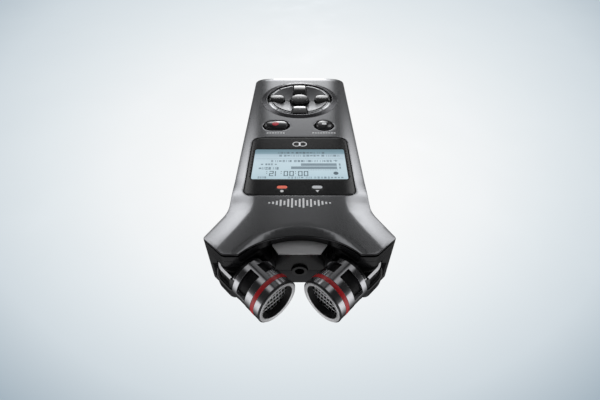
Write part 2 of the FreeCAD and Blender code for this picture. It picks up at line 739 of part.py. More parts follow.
def level_button(y):
    height = 3.6
    button = fillet_level(pad(0, 0, 3.5, 1.5, 1.45, 0, height), 0.4, height)
    button = button.fuse(pad(0, 0, 4.3, 2.2, 1.5, 0, 0.7))
    return face_right(button, 24.6, y, LEVEL_Z)


def phones_jack():
    jack = rod(3.05, -27.6, PHONES_Y, JACK_Z, 1.9, X_AXIS)
    jack = jack.fuse(box(-25.7, PHONES_Y - 3.1, JACK_Z - 2.9,
                         -13.5, PHONES_Y + 3.1, JACK_Z + 2.9))
    return jack.cut(rod(JACK_R, -30, PHONES_Y, JACK_Z, 14.5, X_AXIS))


def mic_jack():
    jack = rod(2.9, 0, NOSE_Y - 0.9, JACK_Z, 14.0, Y_AXIS)
    return jack.cut(rod(JACK_R, 0, NOSE_Y - 2, JACK_Z, 13.6, Y_AXIS))


def usb_port():
    shell = box(21.2, USB_Y - 3.75, 6.25, 27.3, USB_Y + 3.75, 8.95)
    shell = shell.cut(box(22.2, USB_Y - 3.35, 6.6, 28, USB_Y + 3.35, 8.6))
    return shell.fuse(box(22.0, USB_Y - 2.6, 7.35, 26.6, USB_Y + 2.6, 7.85))


def card_socket():
    shell = box(11.5, CARD_Y - 6.2, 6.9, 25.6, CARD_Y + 6.2, 9.0)
    return shell.cut(box(12.3, CARD_Y - 5.55, 7.4, 26, CARD_Y + 5.55, 8.3))


def card_cover():
    half = 7.45
    cover = box(26.45, CARD_Y - half, 5.95, 27.5, CARD_Y + half, 10.05)
    cover = cover.fuse(box(26.6, CARD_Y - half, CARD_PIN_Z, 27.4, CARD_Y + half, 6.0))
    cover = cover.fuse(rod(0.6, CARD_PIN_X, CARD_Y - 8.2, CARD_PIN_Z, 16.4, Y_AXIS))
    return cover.cut(box(27.3, CARD_Y - 1.5, 9.5, 28, CARD_Y + 1.5, 11))


# ---- pivot pins and washers ---------------------------------------------------------
def pivot_pins():
    return Part.makeCompound([
        post(PIVOT_R, side * PIVOT_X, PIVOT_Y, 2.0, 19.0).cut(
            post(1.1, side * PIVOT_X, PIVOT_Y, 1.0, 21.0)) for side in SIDES])


def pivot_washers():
    return Part.makeCompound([
        ring(6.0, PIVOT_R, side * PIVOT_X, PIVOT_Y, 16.5, LUG_TOP_LO) for side in SIDES])


# ---- microphones --------------------------------------------------------------------
# Local frame: X from the pivot to the rim, Y towards the case centre line, z 0 at MIC_Z
MIC_Z = 13.0            # height of the microphone axis
MIC_REACH = 22.5        # pivot axis to the rim
MIC_R = 8.4             # sleeve outer radius
SLEEVE_RI = 7.25
SLEEVE_X = 7.9          # pivot end of the sleeve
BARREL_R = 7.6          # round barrel of the arm
BARREL_END_X = 7.85
BASE_Z = 4.5 - MIC_Z    # underside and top of the arm base
BASE_TOP_Z = 11.0 - MIC_Z
KNUCKLE_R = 6.75        # upright part of the arm
KNUCKLE_TOP_R = 6.05
KNUCKLE_X = 6.3
KNUCKLE_Z = 10.03 - MIC_Z
BEVEL_Z = 15.4 - MIC_Z
KNUCKLE_TOP_Z = 16.44 - MIC_Z


def mic_turning(profile):
    """Revolve (x from the rim plane, radius) corners about the microphone axis."""
    return revolve([Vector(MIC_REACH + x, radius, 0) for x, radius in profile], X_AXIS)


def mic_sleeve():
    start = SLEEVE_X - MIC_REACH
    sleeve = mic_turning([
        (start, SLEEVE_RI), (start, MIC_R - 0.15), (start + 0.15, MIC_R), (-5.0, MIC_R),
        (-5.0, 7.9), (-3.2, 7.9), (-3.2, MIC_R), (-0.55, MIC_R), (-0.4, MIC_R - 0.15),
        (-0.4, SLEEVE_RI),
    ])
    # windows all round, parted by four ribs
    windows = mic_turning([(-12.3, 5.0), (-12.3, 10.0), (-7.7, 10.0), (-7.7, 5.0)])
    ribs = None
    for angle in (-2.5, 87.5, 177.5, -92.5):
        rib = box(0, -1.3, 0, 30, 1.3, 12)
        rib.rotate(ORIGIN, X_AXIS, angle)
        ribs = rib if ribs is None else ribs.fuse(rib)
    return sleeve.cut(windows.cut(ribs))


def mic_grille():
    grille = mic_turning([(-3.3, 0.0), (-3.3, 7.2), (-2.5, 7.2), (-2.5, 0.0)])
    hole, pitch = 1.3, 1.9
    for i in range(-3, 4):
        for j in range(-3, 4):
            if i * i + j * j <= 10:
                corner = Vector(MIC_REACH - 4.5, pitch * i - hole / 2, pitch * j - hole / 2)
                grille = grille.cut(Part.makeBox(3, hole, hole, corner))
    return grille


def arm_base():
    """Half-round at the pivot, square with rounded corners at the other end."""
    corner_r = 3.2
    inset = corner_r * (1 - math.sqrt(0.5))
    flat_x = ARM_LEN - corner_r
    flat_y = ARM_R - corner_r

    def at(x, y):
        return Vector(x, y, 0)

    wire = Part.Wire([
        arc(at(0, ARM_R), at(-ARM_R, 0), at(0, -ARM_R)),
        line(at(0, -ARM_R), at(flat_x, -ARM_R)),
        arc(at(flat_x, -ARM_R), at(ARM_LEN - inset, -ARM_R + inset), at(ARM_LEN, -flat_y)),
        line(at(ARM_LEN, -flat_y), at(ARM_LEN, flat_y)),
        arc(at(ARM_LEN, flat_y), at(ARM_LEN - inset, ARM_R - inset), at(flat_x, ARM_R)),
        line(at(flat_x, ARM_R), at(0, ARM_R)),
    ])
    wire.translate(Vector(0, 0, BASE_Z))
    base = Part.Face(wire).extrude(Vector(0, 0, BASE_TOP_Z - BASE_Z))
    base = fillet_level(base, 1.0, BASE_TOP_Z)
    return fillet_level(base, 2.4, BASE_Z)


def knuckle_wire(radius, z):
    """Half circle about the pivot, closed by a rectangle reaching to KNUCKLE_X."""
    left, right = Vector(0, radius, z), Vector(0, -radius, z)
    end_right, end_left = Vector(KNUCKLE_X, -radius, z), Vector(KNUCKLE_X, radius, z)
    return Part.Wire([arc(left, Vector(-radius, 0, z), right), line(right, end_right),
                      line(end_right, end_left), line(end_left, left)])


def mic_arm():
    base = arm_base()
    barrel_x = 5.2
    barrel = rod(BARREL_R, barrel_x, 0, 0, BARREL_END_X - barrel_x, X_AXIS)
    # upright knuckle with a flat bevel along its top edge
    knuckle = Part.Face(knuckle_wire(KNUCKLE_R, KNUCKLE_Z))
    knuckle = knuckle.extrude(Vector(0, 0, BEVEL_Z - KNUCKLE_Z))
    cap = Part.makeLoft([knuckle_wire(KNUCKLE_R, BEVEL_Z),
                         knuckle_wire(KNUCKLE_TOP_R, KNUCKLE_TOP_Z)], True, True)
    knuckle = knuckle.fuse(cap).removeSplitter()
    arm = base.fuse(barrel).fuse(knuckle)
    arm = arm.cut(box(-30, -30, KNUCKLE_TOP_Z, 6.35, 30, 30))
    arm = arm.cut(box(BARREL_END_X, -30, -30, 30, 30, 30))
    spigot = revolve([Vector(5.5, 6.0, 0), Vector(5.5, 7.2, 0), Vector(9.4, 7.2, 0),
                      Vector(9.4, 6.0, 0)], X_AXIS)
    arm = arm.fuse(spigot.common(box(6.4, -30, -30, 30, 30, 30)))
    arm = arm.cut(post(PIVOT_R + PIVOT_CLEAR, 0, 0, -20, 20))
    arm = arm.cut(rod(1.6, 1.0, 0, 0, 20, X_AXIS))
    if not arm.isValid():
        arm.fix(1e-4, 1e-5, 1e-3)
    return arm


def mic_pieces():
    """Pieces of one microphone in its local frame."""
    return {
        "mic_arm": mic_arm(),
        "mic_sleeve": mic_sleeve(),
        "mic_red_ring": mic_turning([
            (-4.95, 7.95), (-4.95, MIC_R + 0.03), (-3.25, MIC_R + 0.03), (-3.25, 7.95)]),
        "mic_rim": mic_turning([
            (-2.4, 6.65), (-2.4, 7.2), (-0.4, 7.2), (-0.35, 8.1), (-0.1, 8.15), (0, 7.9),
            (-0.25, 6.65)]),
        "mic_grille": mic_grille(),
        "mic_screen": mic_turning([
            (-12.9, 6.6), (-12.9, 7.15), (-7.2, 7.15), (-7.2, 6.6)]),
        "mic_capsule": mic_turning([
            (-10.5, 0.0), (-10.5, 4.8), (-4.3, 4.8), (-4.3, 3.6), (-4.6, 3.6), (-4.6, 0.0)]),
        "mic_shock_mount": mic_turning([
            (-9.2, 4.85), (-9.2, 6.5), (-5.6, 6.5), (-5.6, 4.85)]),
    }


def place_mic(shape, side):
    placed = shape.copy()
    placed.rotate(ORIGIN, Z_AXIS, -45)
    placed.translate(Vector(-PIVOT_X, PIVOT_Y, MIC_Z))
    return placed.mirror(ORIGIN, X_AXIS) if side > 0 else placed


# ---- write the pieces ---------------------------------------------------------------
for build in (
    face_panel, front_cover, pivot_frame, nose_trim, rear_cover, battery_door,
    batteries, battery_contacts, battery_springs, speaker, tripod_insert,
    main_board, key_board, keypad_membrane, board_screws, case_screws,
    display_window, lcd_module, pad_bezel, pad_ring, play_key, record_button,
    stop_button, hold_switch, phones_jack, mic_jack, usb_port, card_socket,
    card_cover, pivot_pins, pivot_washers,
):
    save(build.__name__, build())

save("rec_light", light(-1))
save("peak_light", light(1))
save("level_up_button", level_button(LEVEL_Y[0]))
save("level_down_button", level_button(LEVEL_Y[1]))
for key_name, key_plan in key_plans().items():
    save(key_name, outer_key(key_name, key_plan))
for end_name, key_end in (("far", 1), ("near", -1)):
    for side_name, key_side in (("left", -1), ("right", 1)):
        save("corner_key_%s_%s" % (end_name, side_name), corner_key(key_side, key_end))
for piece_name, mic_piece in mic_pieces().items():
    for side_name, mic_side in (("left", -1), ("right", 1)):
        save(piece_name + "_" + side_name, place_mic(mic_piece, mic_side))
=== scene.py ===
# A handheld sound recorder lying on its back. The face looks up (+Z), the foot end is at +Y and
# the two crossed microphones reach out at -Y, towards the camera. X runs across the case, with 0
# on its centre line. Lengths are in millimetres unless a comment says otherwise.

import json
import math

import bmesh
import bpy
import numpy as np
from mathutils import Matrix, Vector
from mathutils.geometry import delaunay_2d_cdt


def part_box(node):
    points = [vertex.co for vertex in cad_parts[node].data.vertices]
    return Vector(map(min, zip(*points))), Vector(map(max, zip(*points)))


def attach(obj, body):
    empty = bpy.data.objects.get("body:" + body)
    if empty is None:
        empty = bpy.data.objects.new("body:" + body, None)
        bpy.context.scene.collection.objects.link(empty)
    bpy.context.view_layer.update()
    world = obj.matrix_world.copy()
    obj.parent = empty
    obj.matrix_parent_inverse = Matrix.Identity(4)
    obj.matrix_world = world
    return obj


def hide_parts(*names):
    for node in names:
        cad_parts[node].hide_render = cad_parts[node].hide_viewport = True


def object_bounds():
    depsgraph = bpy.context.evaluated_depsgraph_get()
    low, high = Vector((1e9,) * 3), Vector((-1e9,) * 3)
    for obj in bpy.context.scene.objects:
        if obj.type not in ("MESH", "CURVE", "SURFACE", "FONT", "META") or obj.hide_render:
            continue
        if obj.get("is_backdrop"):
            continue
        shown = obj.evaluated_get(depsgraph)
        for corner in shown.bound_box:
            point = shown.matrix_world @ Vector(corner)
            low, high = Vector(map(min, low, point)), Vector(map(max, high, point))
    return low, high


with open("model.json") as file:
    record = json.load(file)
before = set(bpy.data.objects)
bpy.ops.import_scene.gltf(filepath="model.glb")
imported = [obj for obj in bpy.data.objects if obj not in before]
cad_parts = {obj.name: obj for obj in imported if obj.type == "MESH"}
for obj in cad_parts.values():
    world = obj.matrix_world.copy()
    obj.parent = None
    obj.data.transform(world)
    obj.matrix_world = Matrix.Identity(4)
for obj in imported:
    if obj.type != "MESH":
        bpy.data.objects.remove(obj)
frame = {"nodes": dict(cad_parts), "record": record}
CAD_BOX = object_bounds()
MM = 0.001


def node_box(node):
    """Lowest and highest corner of a CAD piece."""
    low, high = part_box(node)
    return np.array(low) / MM, np.array(high) / MM


# ---- reference positions -------------------------------------------------------------------
PANEL_HI = node_box("face_panel")[1]
FACE_Z = float(PANEL_HI[2])
WINDOW_LO, WINDOW_HI = node_box("display_window")
WINDOW_Z = float(WINDOW_HI[2])
# "Foot coordinates" are y values counted from here; nearly all of them are negative.
FOOT_Y = float(WINDOW_HI[1]) + 67.0
FOOT_END = float(PANEL_HI[1]) - FOOT_Y

BEZEL_LO, BEZEL_HI = node_box("pad_bezel")
BEZEL_BASE = float(BEZEL_LO[2])
PAD_X, PAD_Y = (float(c) for c in ((BEZEL_LO + BEZEL_HI) / 2)[:2])
RING_BASE = float(node_box("pad_ring")[0][2])
KEY_BASE = float(node_box("play_key")[0][2])
RECORD_LO, RECORD_HI = node_box("record_button")
STOP_LO, STOP_HI = node_box("stop_button")
RECORD_X, RECORD_Y = ((RECORD_LO + RECORD_HI) / 2)[:2]
STOP_X, STOP_Y = ((STOP_LO + STOP_HI) / 2)[:2]

LCD_HALF_WIDTH = 20.85
LCD_Y0, LCD_Y1 = FOOT_Y - 99.0, FOOT_Y - 77.0


# ---- shader nodes --------------------------------------------------------------------------
def rgba(color):
    """Opaque colour from a grey level or an (r, g, b) tuple."""
    return (color,) * 3 + (1.0,) if isinstance(color, (int, float)) else tuple(color) + (1.0,)


class Shader:
    """Builds a node tree; any input may be a number, an (r, g, b) tuple or a socket."""

    def __init__(self, tree):
        self.tree = tree
        tree.nodes.clear()

    def feed(self, socket, value):
        if isinstance(value, (int, float)):
            socket.default_value = value
        elif isinstance(value, tuple):
            socket.default_value = rgba(value)
        else:
            self.tree.links.new(value, socket)

    def node(self, kind, inputs=None, **settings):
        """New node; inputs maps socket names or indices to values."""
        node = self.tree.nodes.new(kind)
        for key, value in settings.items():
            setattr(node, key, value)
        for key, value in (inputs or {}).items():
            self.feed(node.inputs[key], value)
        return node

    def coords(self):
        source = self.node("ShaderNodeTexCoord").outputs["Object"]
        return self.node("ShaderNodeMapping", {"Vector": source}).outputs["Vector"]

    def xyz(self, vector):
        return self.node("ShaderNodeSeparateXYZ", {0: vector}).outputs

    def grey(self, value):
        return self.node("ShaderNodeCombineXYZ", {0: value, 1: value, 2: value}).outputs[0]

    def noise(self, vector, scale, detail=2.0, rough=0.5, distortion=0.0):
        inputs = {"Scale": scale, "Detail": detail, "Roughness": rough,
                  "Distortion": distortion, "Vector": vector}
        return self.node("ShaderNodeTexNoise", inputs).outputs["Fac"]

    def ramp(self, factor, stops):
        """Colour ramp through (position, colour) stops."""
        node = self.node("ShaderNodeValToRGB", {"Fac": factor})
        elements = node.color_ramp.elements
        while len(elements) > 1:
            elements.remove(elements[-1])
        elements[0].position, elements[0].color = stops[0][0], rgba(stops[0][1])
        for position, color in stops[1:]:
            elements.new(position).color = rgba(color)
        return node.outputs["Color"]

    def remap(self, value, source, target=(0.0, 1.0), **settings):
        """Maps the source range onto the target range, clamped."""
        inputs = {"From Min": source[0], "From Max": source[1],
                  "To Min": target[0], "To Max": target[1], "Value": value}
        return self.node("ShaderNodeMapRange", inputs, **settings).outputs["Result"]

    def fade(self, value, source, target=(0.0, 1.0)):
        """Like remap, with soft ends."""
        return self.remap(value, source, target, interpolation_type="SMOOTHSTEP")

    def vary(self, noise, low, high):
        """Spreads the busy middle of a noise over low to high."""
        return self.remap(noise, source=(0.3, 0.7), target=(low, high))

    def math(self, operation, *values):
        return self.node("ShaderNodeMath", dict(enumerate(values)), operation=operation).outputs[0]

    def add(self, total, *others):
        for value in others:
            total = self.math("ADD", total, value)
        return total

    def multiply(self, total, *others):
        for value in others:
            total = self.math("MULTIPLY", total, value)
        return total

    def mix(self, factor, first, second, blend="MIX"):
        inputs = {0: factor, 6: first, 7: second}
        return self.node("ShaderNodeMix", inputs, data_type="RGBA", blend_type=blend).outputs[2]

    def between(self, noise, first, second):
        """Colour wandering between two others with the noise."""
        return self.mix(self.vary(noise, 0.0, 1.0), first, second)

    def tint(self, noise, base, low, high):
        """Base colour wandering between low and high times its strength."""
        return self.between(noise, tuple(low * c for c in base),
                            tuple(min(1.0, high * c) for c in base))

    def bump(self, height, strength, distance, bevel=0.0):
        """Bumped normal; bevel is the radius that rounds the edges in shading."""
        inputs = {"Strength": strength, "Distance": distance * MM, "Height": height}
        if bevel > 0:
            rounded = self.node("ShaderNodeBevel", {"Radius": bevel * MM}, samples=4)
            inputs["Normal"] = rounded.outputs["Normal"]
        return self.node("ShaderNodeBump", inputs).outputs["Normal"]

    def polish_bump(self, flow, fine, bevel=0.0):
        """Faint flow and handling marks of polished plastic."""
        height = self.add(self.multiply(flow, 0.6), self.multiply(fine, 0.08))
        return self.bump(height, strength=0.05, distance=0.04, bevel=bevel)


class Material(Shader):
    def __init__(self, name):
        self.data = bpy.data.materials.new(name)
        self.data.use_nodes = True
        super().__init__(self.data.node_tree)
        self.output = self.node("ShaderNodeOutputMaterial")

    def surface(self, socket):
        self.feed(self.output.inputs["Surface"], socket)
        return self.data

    def principled(self, **inputs):
        """Finishes with a Principled shader; underscores stand for spaces in input names."""
        inputs = {key.replace("_", " "): value for key, value in inputs.items()}
        return self.surface(self.node("ShaderNodeBsdfPrincipled", inputs).outputs[0])


# ---- kinds of material ---------------------------------------------------------------------
def paint(name, base, rough, metallic, grain, painted_front_shade=False):
    """Satin metallic paint with fine flake; the last flag paints shade on steep surfaces that face
    -Y, darkening them.
    """
    m = Material(name)
    coords = m.coords()
    fine = m.noise(coords, scale=5200.0, rough=0.6)
    middle = m.noise(coords, scale=900.0)
    large = m.noise(coords, scale=35.0)
    gain = m.add(m.vary(fine, -grain, grain), m.vary(middle, -grain * 0.35, grain * 0.35),
                 m.vary(large, -0.02, 0.02), 1.0)
    color = m.mix(1.0, base, m.grey(gain), "MULTIPLY")
    normal = m.bump(m.add(m.multiply(fine, 0.5), m.multiply(middle, 0.05)),
                    strength=0.08, distance=0.02)
    # painted shade: steep surfaces facing -Y get a near-black colour instead of catching light
    if painted_front_shade:
        facing = m.xyz(m.node("ShaderNodeNewGeometry").outputs["Normal"])
        painted_shade_mask = m.multiply(m.remap(facing["Y"], source=(-0.25, -0.45)),
                          m.remap(facing["Z"], source=(0.87, 0.76)))
        color = m.mix(painted_shade_mask, color, (0.05, 0.05, 0.052))
    return m.principled(Base_Color=color, Metallic=metallic,
                        Roughness=m.add(m.vary(middle, -0.003, 0.003), rough),
                        Normal=normal, Coat_Weight=0.12, Coat_Roughness=0.25)


def gloss(name, base, rough, bevel=0.0, coat=0.35):
    """Glossy moulded plastic with a slightly uneven polish."""
    m = Material(name)
    coords = m.coords()
    flow = m.noise(coords, scale=120.0, detail=3.0, rough=0.55, distortion=0.4)
    fine = m.noise(coords, scale=1500.0)
    smudges = m.remap(flow, source=(0.35, 0.7), target=(0.0, 0.06))
    return m.principled(Base_Color=m.tint(flow, base, low=0.85, high=1.15),
                        Roughness=m.add(smudges, rough), Normal=m.polish_bump(flow, fine, bevel),
                        Coat_Weight=coat, Coat_Roughness=0.06, Specular_IOR_Level=0.5)


def textured(name, base, rough, bevel=0.0):
    """Spark-eroded moulded plastic."""
    scale = 2600.0
    m = Material(name)
    coords = m.coords()
    fine = m.noise(coords, scale, detail=3.0, rough=0.6)
    cells = m.node("ShaderNodeTexVoronoi", {"Scale": scale * 0.55, "Vector": coords})
    large = m.noise(coords, scale=60.0)
    height = m.add(fine, m.multiply(cells.outputs["Distance"], 0.7))
    return m.principled(Base_Color=m.tint(fine, base, low=0.8, high=1.25),
                        Roughness=m.add(m.vary(large, -0.05, 0.05), rough),
                        Normal=m.bump(height, strength=0.35, distance=0.04, bevel=bevel),
                        Specular_IOR_Level=0.45)


def metal(name, base, rough, bevel=0.0):
    """Machined or plated metal."""
    m = Material(name)
    fine = m.noise(m.coords(), scale=1800.0, detail=3.0, rough=0.6)
    large = m.noise(m.coords(), scale=150.0)
    roughness = m.add(m.vary(large, -0.03, 0.04), m.add(m.vary(fine, -0.03, 0.03), rough))
    return m.principled(Base_Color=m.tint(fine, base, low=0.9, high=1.07), Metallic=1.0,
                        Roughness=roughness,
                        Normal=m.bump(fine, strength=0.08, distance=0.02, bevel=bevel))


def glow(name, base, strength, rough=0.15):
    """Print or lens that gives off a little light of its own; on print this glow is painted light
    that brightens it.
    """
    m = Material(name)
    color = m.tint(m.noise(m.coords(), scale=600.0), base, low=0.96, high=1.04)
    return m.principled(Base_Color=color, Roughness=rough, Emission_Color=color,
                        Emission_Strength=strength, Coat_Weight=0.5, Coat_Roughness=0.05)


def arm_material():
    """Black gloss arm with a painted highlight: flat bevels picked out by their slope turn bright
    polished metal.
    """
    m = Material("arm_black_painted_highlight")
    coords = m.coords()
    flow = m.noise(coords, scale=160.0, detail=3.0, rough=0.55, distortion=0.4)
    fine = m.noise(coords, scale=2600.0)
    slope = m.xyz(m.node("ShaderNodeNewGeometry").outputs["True Normal"])["Z"]
    bevel_slope = 0.558
    off_slope = m.math("ABSOLUTE", m.math("SUBTRACT", slope, bevel_slope))
    height = m.xyz(m.node("ShaderNodeTexCoord").outputs["Object"])["Z"]
    # only bevels above about 15.3 mm get the painted highlight; heights here are in metres
    painted_highlight_band = m.multiply(m.remap(off_slope, source=(0.03, 0.012)),
                       m.remap(height, source=(0.0152, 0.0154)))
    dark = m.between(flow, (0.007, 0.007, 0.0075), (0.011, 0.011, 0.012))
    highlight_metal_color = m.between(fine, (0.44, 0.44, 0.45), (0.52, 0.52, 0.53))
    rough = m.add(m.remap(flow, source=(0.35, 0.7), target=(0.0, 0.05)),
                  m.add(m.multiply(painted_highlight_band, -0.04), 0.20))
    return m.principled(Base_Color=m.mix(painted_highlight_band, dark, highlight_metal_color), Metallic=painted_highlight_band, Roughness=rough,
                        Normal=m.polish_bump(flow, fine), Coat_Weight=0.05,
                        Coat_Roughness=0.08, Specular_IOR_Level=0.42)


def lcd_material():
    """Back-lit glass: pale blue, a darker band at the foot end, a fine dot grid."""
    dot_pitch = 0.30
    # share of the way from the foot end edge to the opposite edge, colour
    bands = [(0.0, (0.200, 0.325, 0.385)), (0.05, (0.185, 0.300, 0.360)),
             (0.155, (0.27, 0.40, 0.47)), (0.185, (0.47, 0.60, 0.68)),
             (0.30, (0.56, 0.70, 0.78)), (0.45, (0.61, 0.75, 0.82)),
             (0.8, (0.58, 0.73, 0.80)), (1.0, (0.52, 0.68, 0.76))]
    m = Material("lcd_glass")
    coords = m.node("ShaderNodeTexCoord").outputs["Object"]
    place = m.xyz(coords)
    color = m.ramp(m.remap(place["Y"], source=(LCD_Y1 * MM, LCD_Y0 * MM)), bands)

    def grid_line(axis):
        cell = m.math("FRACT", m.multiply(place[axis], 1.0 / (dot_pitch * MM)))
        return m.math("GREATER_THAN", cell, 0.9)

    grid = m.math("MAXIMUM", grid_line("X"), grid_line("Y"))
    cloud = m.noise(coords, scale=90.0)
    dimming = m.math("SUBTRACT", m.vary(cloud, 0.97, 1.03), m.multiply(grid, 0.05))
    color = m.mix(1.0, color, m.grey(dimming), "MULTIPLY")
    return m.principled(Base_Color=m.mix(1.0, color, (0.25, 0.25, 0.25), "MULTIPLY"),
                        Roughness=0.2, Emission_Color=color, Emission_Strength=0.86,
                        Coat_Weight=0.3, Coat_Roughness=0.08)


def lcd_ink(name, dark, light):
    m = Material(name)
    color = m.mix(m.noise(m.coords(), scale=700.0), dark, light)
    return m.principled(Base_Color=m.mix(1.0, color, (0.3, 0.3, 0.3), "MULTIPLY"),
                        Roughness=0.3, Emission_Color=color, Emission_Strength=0.85)


# ---- materials in use ----------------------------------------------------------------------
# the face's steep edges facing -Y carry painted shade
FACE = paint("face_satin_paint", (0.47, 0.475, 0.49), rough=0.185, metallic=1.0, grain=0.06,
             painted_front_shade=True)
TRIM = paint("trim_satin_paint", (0.80, 0.80, 0.81), rough=0.42, metallic=0.20, grain=0.05)
COVER = gloss("black_cover_plastic", (0.010, 0.010, 0.011), rough=0.22, bevel=0.3, coat=0.15)
MATTE = textured("black_matte_plastic", (0.018, 0.018, 0.020), rough=0.5, bevel=0.25)
KEY = gloss("key_gloss", (0.020, 0.020, 0.022), rough=0.15, coat=1.0)
PAD_RING = metal("pad_ring_silver", (0.78, 0.79, 0.81), rough=0.2)
BEZEL = metal("pad_bezel_turned", (0.20, 0.20, 0.21), rough=0.24)
WINDOW = gloss("window_black", (0.020, 0.0205, 0.022), rough=0.2)
ARM = arm_material()
RIM = metal("rim_nickel", (0.95, 0.95, 0.97), rough=0.5)
MESH = metal("mesh_wire", (0.93, 0.93, 0.94), rough=0.30)
SCREEN = textured("screen_black", (0.012, 0.012, 0.013), rough=0.45)
RED_RING = gloss("red_ring_anodised", (0.70, 0.022, 0.030), rough=0.3, coat=0.2)
# the prints glow: painted light that brightens them
WHITE_PRINT = glow("white_print", (0.62, 0.63, 0.64), strength=0.62, rough=0.45)
PALE_PRINT = glow("pale_grey_print", (0.50, 0.51, 0.52), strength=0.55, rough=0.45)
GREY_PRINT = glow("grey_print", (0.36, 0.365, 0.37), strength=0.30, rough=0.45)
RED_PRINT = glow("red_print", (0.40, 0.012, 0.025), strength=0.55, rough=0.5)
LCD = lcd_material()
INK = lcd_ink("lcd_ink", dark=(0.10, 0.14, 0.17), light=(0.13, 0.175, 0.205))
LIGHT_INK = lcd_ink("lcd_ink_light", dark=(0.21, 0.28, 0.33), light=(0.26, 0.335, 0.385))

SLOT_MATERIAL = {
    "face_paint": FACE, "black_matte": MATTE, "key_black": KEY, "pad_silver": PAD_RING,
    "window_black": WINDOW, "lcd_blue": LCD, "rim_silver": RIM, "red_ring": RED_RING,
    "mesh_steel": MESH, "mesh_black": SCREEN,
    "black_gloss": gloss("black_gloss_plastic", (0.010, 0.010, 0.011), rough=0.16, bevel=0.35),
    "key_silver": metal("pad_silver", (0.245, 0.248, 0.256), rough=0.34, bevel=0.12),
    "red_lens": glow("red_lens", (0.72, 0.16, 0.11), strength=0.75),
    "white_lens": glow("white_lens", (0.60, 0.62, 0.65), strength=0.55),
    "mic_chrome": metal("sleeve_nickel", (0.62, 0.62, 0.64), rough=0.11, bevel=0.1),
    "capsule_metal": metal("capsule_alloy", (0.5, 0.5, 0.5), rough=0.35),
    "grey_rubber": textured("grey_rubber", (0.09, 0.09, 0.09), rough=0.7),
    "port_rubber": textured("port_rubber", (0.016, 0.016, 0.017), rough=0.6, bevel=0.2),
    "port_black": gloss("port_black", (0.012, 0.012, 0.013), rough=0.3, bevel=0.15),
    "circuit_green": gloss("board_green", (0.012, 0.11, 0.045), rough=0.35, bevel=0.05),
    "contact_steel": metal("contact_spring_steel", (0.70, 0.69, 0.66), rough=0.25),
    "screw_steel": metal("screw_zinc", (0.6, 0.6, 0.6), rough=0.3, bevel=0.08),
    "screw_black": metal("screw_black_oxide", (0.05, 0.05, 0.052), rough=0.38, bevel=0.08),
    "brass_insert": metal("brass", (0.80, 0.56, 0.22), rough=0.28, bevel=0.15),
    "speaker_black": textured("speaker_cone", (0.02, 0.02, 0.021), rough=0.6, bevel=0.1),
    "battery_wrap": gloss("battery_wrap", (0.30, 0.16, 0.05), rough=0.3, bevel=0.2),
    "black_nylon": textured("black_nylon", (0.025, 0.025, 0.026), rough=0.5, bevel=0.1),
}
# CAD pieces that don't take the material of their slot
PIECE_MATERIAL = {"nose_trim": TRIM, "front_cover": COVER, "pivot_frame": COVER,
                  "mic_arm_left": ARM, "mic_arm_right": ARM}


# ---- plane outlines ------------------------------------------------------------------------
def arc_points(centre_x, centre_y, radius, start, end, count):
    angles = [start + (end - start) * i / count for i in range(count + 1)]
    return [(centre_x + radius * math.cos(a), centre_y + radius * math.sin(a)) for a in angles]


def circle(centre_x, centre_y, radius, count):
    angles = [2 * math.pi * i / count for i in range(count)]
    return [(centre_x + radius * math.cos(a), centre_y + radius * math.sin(a)) for a in angles]


def box(x0, y0, x1, y1):
    return [(x0, y0), (x1, y0), (x1, y1), (x0, y1)]


def foot_box(x0, y0, x1, y1):
    """Rectangle with its y values in foot coordinates."""
    return box(x0, FOOT_Y + y0, x1, FOOT_Y + y1)


def densify(loop, step):
    """Splits the sides of a closed loop so that none is longer than step."""
    out = []
    for i in range(len(loop)):
        start, end = np.array(loop[i]), np.array(loop[(i + 1) % len(loop)])
        length = np.linalg.norm(end - start)
        if length < 1e-6:
            continue
        count = max(1, int(math.ceil(length / step)))
        for j in range(count):
            out.append(tuple(start + (end - start) * j / count))
    return out


def round_loop(corners, step):
    """Dense closed loop through (x, y, radius) corners."""
    out = []
    for i, (x, y, radius) in enumerate(corners):
        corner = np.array([x, y])
        back = np.array(corners[i - 1][:2]) - corner
        ahead = np.array(corners[(i + 1) % len(corners)][:2]) - corner
        back /= np.linalg.norm(back)
        ahead /= np.linalg.norm(ahead)
        angle = math.acos(max(-1, min(1, back @ ahead)))
        reach = radius / math.tan(angle / 2)
        inward = (back + ahead) / np.linalg.norm(back + ahead)
        centre = corner + inward * radius / math.sin(angle / 2)
        start = math.atan2(*(corner + back * reach - centre)[::-1])
        end = math.atan2(*(corner + ahead * reach - centre)[::-1])
        while end - start > math.pi:
            end -= 2 * math.pi
        while end - start < -math.pi:
            end += 2 * math.pi
        turn = abs(end - start)
        count = max(3, int(turn * max(radius, 0.6) / (step * 0.5)), int(turn / 0.12))
        out += arc_points(centre[0], centre[1], radius, start, end, count)
    return densify(out, step)


def round_box(low, high, radius, step, grow=0.0):
    """Rounded rectangle between two corners, grown outwards on all sides."""
    x0, y0, x1, y1 = low[0] - grow, low[1] - grow, high[0] + grow, high[1] + grow
    return round_loop([(x, y, radius) for x, y in box(x0, y0, x1, y1)], step)


def ccw(loop):
    """The loop in counter-clockwise order."""
    x, y = np.array(loop).T
    area = 0.5 * np.sum(x * np.roll(y, -1) - np.roll(x, -1) * y)
    return loop if area > 0 else loop[::-1]


def offset(loop, distance):
    """Moves a counter-clockwise loop inwards (outwards if negative), with mitred corners."""
    points = np.array(loop, float)
    edges = np.roll(points, -1, 0) - points
    edges = edges / np.maximum(np.linalg.norm(edges, axis=1, keepdims=True), 1e-9)
    normals = np.stack([-edges[:, 1], edges[:, 0]], 1)
    both = normals + np.roll(normals, 1, 0)
    scale = np.maximum((both * both).sum(1, keepdims=True) / 2.0, 0.35)
    return points + both / scale * distance


